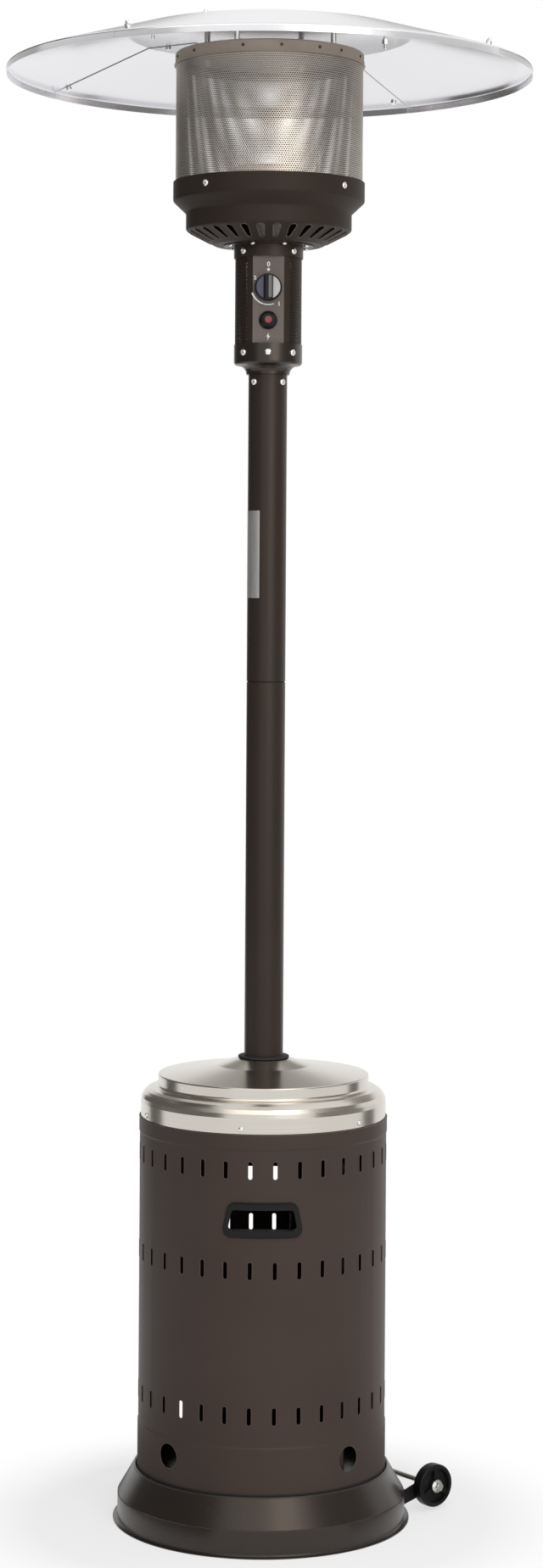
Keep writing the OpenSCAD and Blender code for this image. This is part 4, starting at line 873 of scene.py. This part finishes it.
class Workshop:
    """Keeps the frame and turns meshes into pieces that ride on its bodies."""

    def __init__(self, frame: dict[str, Any]) -> None:
        """Keeps the frame and builds the shared trees.

        Args:
            frame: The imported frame.
        """
        self.frame = frame
        self.perforated = PerforatedSheet()
        self.stamped = Stamped()
        self.piped = PipedEdge()

    def dress(self, finish: Finish, *nodes: str) -> None:
        """Gives CAD nodes a finish.

        Args:
            finish: The finish.
            nodes: The nodes' names.
        """
        for node in nodes:
            shown = self.frame["nodes"][node]
            if not shown.material_slots:
                shown.data.materials.append(None)
            for slot in shown.material_slots:
                slot.material = finish.material()

    def dress_by_slot(self) -> None:
        """Gives every CAD node the plain finish of its slot in the record."""
        finishes = {finish.slot.value: finish for finish in PLAIN_FINISHES}
        for part in self.frame["record"]["subparts"]:
            self.dress(finishes[part["material_slot"]], part["node"])

    def piece(self, name: str, mesh: bmesh.types.BMesh | bpy.types.Mesh, finish: Finish, body: Body,
              replaces: Sequence[str] = (), smooth: bool = False) -> None:
        """Makes a piece.

        Args:
            name: The piece's name.
            mesh: Its mesh.
            finish: Its finish.
            body: The body that it rides on.
            replaces: CAD nodes that it stands for.
            smooth: Whether its faces are shaded smooth up to a sharp angle.
        """
        plain = as_mesh(name, mesh) if isinstance(mesh, bmesh.types.BMesh) else mesh
        plain.name = name
        plain.materials.clear()
        plain.materials.append(finish.material())
        if smooth:
            plain.shade_smooth()
            plain.set_sharp_from_angle(angle=SMOOTH_ANGLE)
        made = put(name, plain)
        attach(made, body.value)
        if replaces:
            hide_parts(*replaces)
        LOG.info("%s: %d faces", name, len(plain.polygons))

    def welded(self, node: str) -> bmesh.types.BMesh:
        """Copies the mesh of a CAD node and joins its doubled points.

        Args:
            node: The CAD node.

        Returns:
            The copy.
        """
        mesh = bmesh.new()
        mesh.from_mesh(self.frame["nodes"][node].data)
        bmesh.ops.remove_doubles(mesh, verts=mesh.verts, dist=NODE_WELD)
        return mesh

    def islands(self, node: str) -> list[list[Vector]]:
        """Finds the separate solids of a CAD node.

        Args:
            node: The CAD node.

        Returns:
            The corner points of each solid.
        """
        mesh = self.welded(node)
        found, seen = [], set()
        for start in mesh.verts:
            if start in seen:
                continue
            seen.add(start)
            island, waiting = [], [start]
            while waiting:
                vertex = waiting.pop()
                island.append(vertex.co.copy())
                for edge in vertex.link_edges:
                    other = edge.other_vert(vertex)
                    if other not in seen:
                        seen.add(other)
                        waiting.append(other)
            found.append(island)
        mesh.free()
        return found

    def rim_edges(self, node: str, skin: Skin) -> bpy.types.Mesh:
        """The edges where the outer skin of a CAD node turns into the wall of a cut-out.

        Args:
            node: The CAD node.
            skin: Tells from a face's normal and middle whether it lies on the outer skin.

        Returns:
            A mesh of edges.
        """
        mesh = self.welded(node)
        mesh.normal_update()
        outside = {face: skin(face.normal, face.calc_center_median()) for face in mesh.faces}
        spots: dict[bmesh.types.BMVert, int] = {}
        lines = []
        for edge in mesh.edges:
            faces = edge.link_faces
            if len(faces) != 2 or outside[faces[0]] == outside[faces[1]]:
                continue
            if faces[0].normal.angle(faces[1].normal, 0.0) > RIM_ANGLE:
                lines.append([spots.setdefault(vertex, len(spots)) for vertex in edge.verts])
        rim = bpy.data.meshes.new(node + "_rim")
        rim.from_pydata([vertex.co.copy() for vertex in spots], lines, [])
        mesh.free()
        return rim

    def bead(self, name: str, node: str, skin: Skin, radius: float, finish: Finish, body: Body) -> None:
        """Lays a round bead along the cut-outs of a CAD node.

        Args:
            name: The piece's name.
            node: The CAD node.
            skin: Tells which of its faces lie on the skin that carries the bead.
            radius: The bead's radius.
            finish: Its finish.
            body: The body that it rides on.
        """
        values = {"Radius": radius, "Sides": BEAD_SIDES, "Material": finish.material()}
        self.piece(name, self.piped.grow(self.rim_edges(node, skin), values), finish, body, (), True)

    def stamp(self, name: str, shape: bmesh.types.BMesh, places: Sequence[tuple[Vector, Vector]],
              finish: Finish, body: Body, replaces: Sequence[str], turn: float) -> None:
        """Sets one shape on many places.

        Args:
            name: The piece's name.
            shape: The shape, facing +Z from the origin.
            places: Place and facing of each.
            finish: The finish.
            body: The body that they ride on.
            replaces: CAD nodes that they stand for.
            turn: Largest chance turn about the facing, in radians.
        """
        stamp = bpy.data.objects.new(name + "_stamp", as_mesh(name + "_stamp", shape))
        points = bpy.data.meshes.new(name + "_points")
        points.from_pydata([place for place, _ in places], [], [])
        facing = points.attributes.new("facing", "FLOAT_VECTOR", "POINT")
        facing.data.foreach_set("vector", [part for _, way in places for part in way])
        values = {"Stamp": stamp, "Turn": turn, "Seed": STAMP_SEED, "Material": finish.material()}
        grown = self.stamped.grow(points, values)
        bpy.data.objects.remove(stamp)
        self.piece(name, grown, finish, body, replaces, True)

    def screws(self, node: str, facing: Facing, finish: Finish, body: Body) -> None:
        """Sets a cross-recessed screw on the place of every solid of a CAD node.

        Args:
            node: The CAD node of the screws.
            facing: The way their heads look.
            finish: Their finish.
            body: The body that they ride on.
        """
        head_share, shank_share = 0.35, 0.54
        places, reach, radius = [], 0.0, 0.0
        for island in self.islands(node):
            centre = sum(island, Vector()) / len(island)
            way = Vector((0, 0, -1))
            if facing is Facing.OUTWARD:
                way = Vector((centre.x, centre.y, 0)).normalized()
            along = [way.dot(point - centre) for point in island]
            radius = max((point - centre - way * far).length for point, far in zip(island, along))
            reach = max(along) - min(along)
            places.append((centre + way * (max(along) - 2 * radius * head_share), way))
        head = 2 * radius * head_share
        shape = cross_head(radius, head, radius * shank_share, reach - head)
        self.stamp(node + "_heads", shape, places, finish, body, (node,), math.tau)


@dataclass
class Stand:
    """Base, posts, pole and the blank plate on it."""

    shop: Workshop
    plate_bearings: Point = (-104.0, -22.0)
    plate_levels: Point = (1.423, 1.558)
    plate_t: float = 0.3 * MM
    plate_steps: int = 24

    def build(self) -> None:
        """Dresses the stand and makes its plate."""
        self.shop.dress(DEEP_BRONZE, "lower_pole", "upper_pole", "housing_collar", "support_post_1",
                        "support_post_2", "support_post_3", "pole_flange")
        self.shop.dress(GLOSSY_BRONZE, "base", "neck_cup")
        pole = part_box("upper_pole")[1].x
        plate = rolled_strip(pole, pole + self.plate_t, self.plate_bearings, self.plate_levels,
                             self.plate_steps)
        self.shop.piece("blank_plate", plate, PLATE_METAL, Body.STAND, (), True)
        self.shop.screws("pole_foot_screws", Facing.OUTWARD, ZINC, Body.STAND)


@dataclass
class TankCover:
    """Slotted cover with its dome, its grips and a dark ring of painted shadow at its foot."""

    shop: Workshop
    bead_r: float = 0.4 * MM
    painted_shadow_ring_h: float = 14.6 * MM
    painted_shadow_ring_t: float = 1.0 * MM
    painted_shadow_ring_gap: float = 0.05 * MM
    painted_shadow_ring_lift: float = 0.2 * MM
    painted_shadow_ring_chamfer: float = 0.5 * MM
    painted_shadow_ring_steps: int = 160
    skin_facing: float = 0.9

    def build(self) -> None:
        """Lays the beads of the cover's slots and the dark ring of painted shadow at its foot."""
        # The beads' lighter bronze is a painted highlight along the rims of the cover's slots.
        self.shop.bead("cover_slot_beads", "tank_housing", self.skin, self.bead_r, HIGHLIGHT_EDGE_BRONZE, Body.COVER)
        self.painted_shadow_ring()
        self.shop.screws("dome_screws", Facing.OUTWARD, ZINC, Body.COVER)

    def painted_shadow_ring(self) -> None:
        """Makes a dark ring with the rubber finish in the gap inside the base's rim, which paints the shadow
        where the cover's foot stands in the base.
        """
        low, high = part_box("tank_housing")
        inner, outer = high.x + self.painted_shadow_ring_gap, high.x + self.painted_shadow_ring_t
        foot, top = low.z + self.painted_shadow_ring_lift, low.z + self.painted_shadow_ring_h
        profile = [(inner, foot), (outer, foot), (outer, top - self.painted_shadow_ring_chamfer),
                   (outer - self.painted_shadow_ring_chamfer, top), (inner, top)]
        painted_shadow_ring = turned_solid(profile, self.painted_shadow_ring_steps)
        # A black ring that stands for the shadow in the gap: painted shadow.
        self.shop.piece("cover_foot_edging", painted_shadow_ring, RUBBER, Body.COVER, (), True)

    def skin(self, normal: Vector, middle: Vector) -> bool:
        """Whether a face lies on the cover's outside."""
        return normal.dot(Vector((middle.x, middle.y, 0)).normalized()) > self.skin_facing


@dataclass
class ControlHousing:
    """Perforated housing with the panel, the knob and the igniter."""

    shop: Workshop
    screen_pitch: float = 3.7 * MM
    screen_hole_share: float = 0.62
    screen_margin: float = 39.0
    screen_t: float = 1.0 * MM
    opening_half_w: float = 24.2 * MM
    margin_lap: float = 1.0
    margin_inset: float = 0.1 * MM
    margin_steps: int = 60
    ink_t: float = 0.12 * MM
    ink_spread: float = 0.3 * MM
    skirt_h: float = 8.0 * MM
    knob_ring: float = 2.7 * MM
    grip_w: float = 13.5 * MM
    painted_reflection_t: float = 0.5 * MM
    painted_reflection_steps: int = 32
    grip_painted_reflection_share: float = 0.8
    grip_painted_reflection_left: float = 0.4 * MM
    grip_painted_reflection_inset: float = 1.6 * MM
    dot_r: float = 2.4 * MM
    dot_gap: float = 7.0 * MM
    dot_steps: int = 24
    arc_gap: float = 5.0 * MM
    arc_half_w: float = 1.5 * MM
    arc_taper: float = 0.6
    arc_start: float = 198.0
    arc_sweep: float = 92.0
    arc_steps: int = 30
    spark_gap: float = 11.0 * MM
    spark_mm: tuple[Point, ...] = (
        (1.0, 6.0), (-3.0, -0.6), (-0.4, -0.6), (-1.4, -6.0), (3.0, 1.0), (0.4, 1.0))

    def build(self) -> None:
        """Makes the screen, the marks, the painted reflections on the knob's face and the screws."""
        self.screen()
        self.marks()
        self.knob_painted_reflections()
        self.shop.screws("neck_screws", Facing.OUTWARD, ZINC, Body.STAND)
        self.shop.screws("housing_screws", Facing.OUTWARD, ZINC, Body.STAND)

    def screen(self) -> None:
        """Makes the perforated wall with its plain margins."""
        low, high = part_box("side_screen")
        outer = high.x
        inner = outer - self.screen_t
        opening = math.degrees(math.asin(self.opening_half_w / outer))
        show_low, show_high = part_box("neck_cup")[1].z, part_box("housing_collar")[0].z
        sweep = math.radians(360 - 2 * self.screen_margin)
        cells = round(sweep * inner / self.screen_pitch)
        row = self.screen_pitch * math.sqrt(3) / 2
        rows = math.ceil((show_high - show_low) / row) + 1
        mesh = self.shop.perforated.grow(bpy.data.meshes.new("screen_carrier"), {
            "Inner Radius": inner, "Thickness": self.screen_t,
            "First Angle": math.radians(self.screen_margin - 90), "Cell Angle": sweep / cells,
            "Cells": cells, "Rows": rows, "Foot": show_low, "Hole Share": self.screen_hole_share,
            "Material": DEEP_BRONZE.material()})
        self.shop.piece("side_screen_mesh", mesh, DEEP_BRONZE, Body.STAND, ("side_screen",))
        margin = self.screen_margin
        side = margin + self.margin_lap
        strips = [((opening, side), (low.z, high.z)),
                  ((360 - side, 360 - opening), (low.z, high.z)),
                  ((margin, 360 - margin), (low.z, show_low)),
                  ((margin, 360 - margin), (show_high, high.z))]
        edges = bmesh.new()
        for bearings, levels in strips:
            strip = rolled_strip(inner + self.margin_inset, outer - self.margin_inset, bearings, levels,
                                 self.margin_steps)
            edges.from_mesh(as_mesh("strip", strip))
        self.shop.piece("side_screen_margins", edges, DEEP_BRONZE, Body.STAND, ("side_screen",), True)

    def figure(self, text: str, size: float, x: float, z: float, front: float) -> bpy.types.Mesh:
        """A printed figure on the panel as a mesh.

        Args:
            text: The figure.
            size: Its height.
            x: Its middle's place across.
            z: Its middle's height.
            front: The panel's front along Y.

        Returns:
            The mesh.
        """
        curve = bpy.data.curves.new("figure", "FONT")
        curve.body, curve.size, curve.extrude = text, size, self.ink_t / 2
        curve.offset = self.ink_spread
        curve.align_x, curve.align_y = "CENTER", "CENTER"
        mesh = baked(put("figure", curve))
        place = Matrix.Translation((x, front - self.ink_t / 2, z)) @ Matrix.Rotation(math.pi / 2, 4, "X")
        mesh.transform(place)
        return mesh

    def dot(self, z: float) -> list[Point]:
        """The outline of the dot over the knob."""
        turns = [math.tau * step / self.dot_steps for step in range(self.dot_steps)]
        return [(self.dot_r * math.cos(a), z + self.dot_r * math.sin(a)) for a in turns]

    def arc(self, z: float, radius: float) -> list[Point]:
        """Draws the tapering sweep round the knob.

        Args:
            z: Height of the knob's middle.
            radius: Radius of the sweep's middle line.

        Returns:
            The outline.
        """
        steps = range(self.arc_steps + 1)
        sweep = [math.radians(self.arc_start + self.arc_sweep * step / self.arc_steps) for step in steps]
        wide = [self.arc_half_w * (1 - self.arc_taper * step / self.arc_steps) for step in steps]
        outside = [(radius + w, a) for w, a in zip(wide, sweep)]
        inside = [(radius - w, a) for w, a in zip(wide, sweep)]
        return [(r * math.cos(a), z + r * math.sin(a)) for r, a in outside + inside[::-1]]

    def marks(self) -> None:
        """Prints plain figures, a dot, a sweep and a spark sign on the panel."""
        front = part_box("control_panel")[0].y
        knob_low, knob_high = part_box("control_knob")
        knob = (knob_low + knob_high) / 2
        radius = (knob_high.z - knob_low.z) / 2
        dot_z = knob.z + radius + self.dot_gap
        spark_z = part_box("igniter_bezel")[0].z - self.spark_gap
        spark = [(x * MM, spark_z + z * MM) for x, z in self.spark_mm]
        ink = bmesh.new()
        for outline in (self.dot(dot_z), self.arc(knob.z, radius + self.arc_gap), spark):
            front_plate(ink, outline, front, front - self.ink_t)
        figures = [("0", 10 * MM, 0.0, dot_z + 8 * MM),
                   ("1", 9 * MM, 16.5 * MM, knob.z - radius - 4 * MM),
                   ("2", 8 * MM, -20.4 * MM, knob.z + 15 * MM)]
        for text, size, x, z in figures:
            ink.from_mesh(self.figure(text, size, x, z, front))
        self.shop.piece("panel_marks", ink, WHITE_INK, Body.STAND)

    def knob_painted_reflections(self) -> None:
        """Lays painted reflections on the knob's face: a half-moon of painted shade on the left, one of
        painted highlight on the right and a grey strip of painted highlight along the grip.
        """
        low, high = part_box("control_knob")
        middle = (low + high) / 2
        radius = (high.z - low.z) / 2
        skirt_front = high.y - self.skirt_h
        edge = radius - self.knob_ring
        bar = self.grip_w / 2 + self.painted_reflection_t
        start = math.acos(bar / edge)
        angles = [-start + 2 * start * step / self.painted_reflection_steps for step in range(self.painted_reflection_steps + 1)]
        # Left half-moon: painted shade; right half-moon: painted highlight.
        for name, side, finish in (("knob_left_foil", -1, KNOB_DARK_PAINTED_REFLECTION), ("knob_right_foil", 1, KNOB_BRIGHT_PAINTED_REFLECTION)):
            painted_reflection = bmesh.new()
            outline = [(middle.x + side * edge * math.cos(a), middle.z + edge * math.sin(a)) for a in angles]
            front_plate(painted_reflection, outline, skirt_front, skirt_front - self.painted_reflection_t)
            self.shop.piece(name, painted_reflection, finish, Body.KNOB)
        # Grey strip of painted highlight along the grip.
        strip = bmesh.new()
        half = self.grip_painted_reflection_share * radius
        left = middle.x + self.grip_painted_reflection_left
        right = middle.x + self.grip_w / 2 - self.grip_painted_reflection_inset
        bottom, top = middle.z - half, middle.z + half
        outline = [(left, bottom), (right, bottom), (right, top), (left, top)]
        front_plate(strip, outline, low.y, low.y - self.ink_t)
        self.shop.piece("knob_grip_foil", strip, KNOB_GREY_PAINTED_REFLECTION, Body.KNOB)


@dataclass
class BurnerHead:
    """Slotted bowl, perforated emitter and riveted cap."""

    shop: Workshop
    cells: int = 252
    hole_share: float = 0.66
    quarters: int = 4
    wall: float = 0.8 * MM
    tuck: float = 7.0 * MM
    bead_r: float = 0.7 * MM
    cap_lip: float = 1.8 * MM
    cap_wall_and_gap: float = 1.4 * MM
    band_inset: float = 0.1 * MM
    band_steps: int = 96
    cone_outward: float = 0.15
    cone_downward: float = 0.3

    def build(self) -> None:
        """Makes the emitter, the beads of the air slots and the screws."""
        self.shop.dress(CAP_STEEL, "emitter_cap")
        self.shop.dress(DARK_RIVET, "cap_rivets")
        self.shop.dress(TUBE_ENAMEL, "burner_tube")
        self.shop.dress(BOWL_BRONZE, "burner_bowl")
        self.emitter()
        # The beads' lighter bronze is a painted highlight along the rims of the air slots.
        self.shop.bead("air_slot_beads", "burner_bowl", self.cone_skin, self.bead_r, HIGHLIGHT_EDGE_BRONZE, Body.STAND)
        self.shop.screws("ring_screws", Facing.OUTWARD, ZINC, Body.STAND)
        self.shop.screws("bowl_floor_screws", Facing.DOWN, ZINC, Body.STAND)

    def cone_skin(self, normal: Vector, middle: Vector) -> bool:
        """Whether a face lies on the outside of the bowl's cone."""
        outward = normal.dot(Vector((middle.x, middle.y, 0)).normalized())
        return outward > self.cone_outward and normal.z < -self.cone_downward

    def emitter(self) -> None:
        """Makes the perforated wall in quarters, with plain bands at its foot and its top."""
        low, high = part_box("emitter_screen")
        bowl_top, cap_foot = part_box("burner_bowl")[1].z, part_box("emitter_cap")[0].z
        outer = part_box("emitter_cap")[1].x - self.cap_lip - self.cap_wall_and_gap
        inner = outer - self.wall
        # The emitter's inner face gets painted shade.
        finish = replace(EMITTER_STEEL, name="perforated_emitter_steel", painted_shade_r=inner + self.wall / 2)
        cell = math.tau / self.cells
        row = cell * inner * math.sqrt(3) / 2
        foot = bowl_top - self.tuck
        rows = math.ceil((cap_foot + self.tuck - foot) / row) + 1
        each = self.cells // self.quarters
        for quarter in range(self.quarters):
            mesh = self.shop.perforated.grow(bpy.data.meshes.new("emitter_carrier"), {
                "Inner Radius": inner, "Thickness": self.wall, "First Angle": quarter * each * cell,
                "Cell Angle": cell, "Cells": each, "Rows": rows, "Foot": foot,
                "Hole Share": self.hole_share, "Material": finish.material()})
            self.shop.piece(f"emitter_mesh_{quarter + 1}", mesh, finish, Body.STAND, ("emitter_screen",))
        inside, outside, flange = inner + self.band_inset, outer - self.band_inset, low.z + self.wall
        top = foot + (rows - 1) * row
        lower = [(inside, low.z), (high.x, low.z), (high.x, flange), (outside, flange), (outside, foot),
                 (inside, foot)]
        upper = [(inside, top), (outside, top), (outside, high.z), (inside, high.z)]
        band = turned_solid(lower, self.band_steps)
        band.from_mesh(as_mesh("rim", turned_solid(upper, self.band_steps)))
        self.shop.piece("emitter_bands", band, finish, Body.STAND, ("emitter_screen",), True)


@dataclass
class Studio:
    """Camera, floor, soft lamps, white surroundings and the cards that the metal reflects."""

    lens_mm: float = 71.96
    sensor_mm: float = 36.0
    far_clip: float = 100.0
    eye: Spot = (0.0, -4.8656, 1.4156)
    yaw: float = 0.0925
    roll: float = 0.3605
    shift_y: float = -0.1155
    floor_r: float = 6.0
    floor_steps: int = 96
    floor_drop: float = 0.5 * MM
    floor_colour: Shade = (0.86, 0.86, 0.86, 1.0)
    fade_start: float = 0.1
    fade_length: float = 0.4
    fade_round: float = 0.2
    fade_least: float = 0.62
    fill_light: float = 0.45
    card_colour: Shade = (1.0, 0.95, 0.87, 1.0)
    card_steps: int = 24
    card_r: float = 2.6
    card_t: float = 0.01
    card_split: float = 0.55
    card_top: float = 2.62
    card_floor: Point = (0.3, 0.62)
    overhead_z: float = 3.4

    def build(self) -> None:
        """Sets up the studio."""
        self.camera()
        self.floor()
        self.surroundings()
        self.lamp("front_softbox", (1.2, -3.4, 2.2), aim=(0.0, 0.0, 1.1), size=(1.6, 2.8), power=58.0)
        self.lamp("right_softbox", (3.0, 0.6, 1.9), aim=(0.0, 0.0, 1.1), size=(0.9, 2.6), power=14.0)
        self.lamp("top_softbox", (0.0, -1.2, 4.4), aim=(0.0, 0.0, 0.6), size=(3.0, 2.4), power=40.0)
        self.cards()
        bpy.context.scene.view_settings.view_transform = "Standard"

    def cards(self) -> None:
        """Sets the cards round the object, on the floor and overhead."""
        wall, lying = (self.card_r, self.card_r + self.card_t), (self.card_t / 4, self.card_t / 2)
        upper, lower = (self.card_split, self.card_top), (0.0, self.card_split)
        overhead = (self.overhead_z, self.overhead_z + self.card_t)
        self.card("left_card", (-150.0, -36.0), wall, upper, light=0.14)
        self.card("left_low_card", (-130.0, -106.0), wall, lower, light=0.1)
        self.card("left_floor_card", (-175.0, -26.0), self.card_floor, lying, light=0.12)
        self.card("right_card", (48.0, 104.0), wall, upper, light=0.24)
        self.card("right_low_card", (104.0, 124.0), wall, lower, light=0.15)
        self.card("right_floor_card", (50.0, 178.0), self.card_floor, lying, light=0.25)
        self.card("key_card", (10.0, 36.0), wall, levels=(1.2, 3.2), light=3.0)
        self.card("front_top_card", (-45.0, 55.0), radii=(1.6, 3.0), levels=overhead, light=2.4)
        self.card("left_top_card", (-150.0, -52.0), radii=(1.4, 3.2), levels=overhead, light=0.1)
        self.card("back_top_card", (115.0, 245.0), radii=(3.2, 6.8), levels=overhead, light=0.3)

    def camera(self) -> None:
        """Places the camera at the photograph's viewpoint."""
        yaw, roll = math.radians(self.yaw), math.radians(self.roll)
        ahead = Vector((math.sin(yaw), math.cos(yaw), 0))
        right = ahead.cross(Vector((0, 0, 1)))
        across = right * math.cos(roll) + Vector((0, 0, 1)) * math.sin(roll)
        up = Vector((0, 0, 1)) * math.cos(roll) - right * math.sin(roll)
        lens = bpy.data.cameras.new("camera")
        lens.sensor_fit, lens.sensor_width = "AUTO", self.sensor_mm
        lens.lens, lens.shift_y = self.lens_mm, self.shift_y
        lens.clip_end = self.far_clip
        camera = put("camera", lens)
        turned = Matrix((across, up, -ahead)).transposed().to_4x4()
        camera.matrix_world = Matrix.Translation(self.eye) @ turned
        bpy.context.scene.camera = camera

    def white_seen(self, graph: Graph) -> Value:
        """Tells the rays that show the background itself or its image in metal and glass.

        Args:
            graph: The node tree that asks.

        Returns:
            1 for those rays and 0 for the others.
        """
        camera = graph.node("ShaderNodeLightPath", None, None, "Is Camera Ray")
        seen = camera + camera.out("Is Glossy Ray") + camera.out("Is Transmission Ray")
        return seen.math("MINIMUM", seen, 1.0)

    def floor(self) -> None:
        """Makes the pale floor, which keeps the shadow and fades to white."""
        mesh = bmesh.new()
        bmesh.ops.create_circle(mesh, cap_ends=True, segments=self.floor_steps, radius=self.floor_r)
        plain = as_mesh("floor", mesh)
        surface = Surface("pale_floor")
        x, y, _ = surface.split(surface.place)
        away = (x * x + y * y) ** 0.5
        fade = away.math("SMOOTH_MIN", (away - self.fade_start) / self.fade_length, 1.0, self.fade_round)
        fade = fade.math("MAXIMUM", fade, self.fade_least)
        shade = surface.node("ShaderNodeBsdfDiffuse", None, {"Color": self.floor_colour})
        glow = surface.node("ShaderNodeEmission", None, {"Color": WHITE, "Strength": 1.0})
        share = fade * self.white_seen(surface)
        mixed = surface.node("ShaderNodeMixShader", None, {0: share, 1: shade, 2: glow})
        surface.node("ShaderNodeOutputMaterial", None, {"Surface": mixed})
        plain.materials.append(surface.material)
        floor = put("floor", plain)
        floor.location.z = -self.floor_drop

    def card(self, name: str, bearings: Point, radii: Point, levels: Point, light: float) -> None:
        """Sets a curved card near the object, which only reflections show.

        Args:
            name: The card's name.
            bearings: Its first and last bearing in degrees.
            radii: Its inner and outer radius.
            levels: Its lowest and highest height.
            light: How light it is.
        """
        plain = as_mesh(name, rolled_strip(*radii, bearings, levels, self.card_steps))
        surface = Surface(name)
        glow = surface.node("ShaderNodeEmission", None, {"Color": self.card_colour, "Strength": light})
        surface.node("ShaderNodeOutputMaterial", None, {"Surface": glow})
        plain.materials.append(surface.material)
        card = put(name, plain)
        card.visible_camera = card.visible_diffuse = False
        card.visible_shadow = card.visible_transmission = False

    def surroundings(self) -> None:
        """Makes the world white to the eye and plain as a light."""
        world = bpy.data.worlds.new("studio_world")
        world.use_nodes = True
        bpy.context.scene.world = world
        graph = Graph(world.node_tree)
        graph.tree.nodes.clear()
        fill = graph.node("ShaderNodeBackground", None, {"Color": WHITE, "Strength": self.fill_light})
        white = graph.node("ShaderNodeBackground", None, {"Color": WHITE, "Strength": 1.0})
        mixed = graph.node("ShaderNodeMixShader", None, {0: self.white_seen(graph), 1: fill, 2: white})
        graph.node("ShaderNodeOutputWorld", None, {"Surface": mixed})

    def lamp(self, name: str, place: Spot, aim: Spot, size: Point, power: float) -> None:
        """Hangs a soft lamp.

        Args:
            name: The lamp's name.
            place: Where it hangs.
            aim: The point that it faces.
            size: Its width and height.
            power: Its power in watts.
        """
        light = bpy.data.lights.new(name, "AREA")
        light.shape = "RECTANGLE"
        light.size, light.size_y = size
        light.energy = power
        lamp = put(name, light)
        lamp.visible_glossy = False
        way = Vector(aim) - Vector(place)
        lamp.matrix_world = Matrix.Translation(place) @ way.to_track_quat("-Z", "Y").to_matrix().to_4x4()


def main() -> None:
    """Builds the heater's looks in order."""
    logging.basicConfig(level=logging.INFO, format="%(message)s")
    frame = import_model()
    shop = Workshop(frame)
    shop.dress_by_slot()
    for part in (Stand(shop), TankCover(shop), ControlHousing(shop), BurnerHead(shop)):
        part.build()
    Studio().build()


if __name__ == "__main__":
    main()
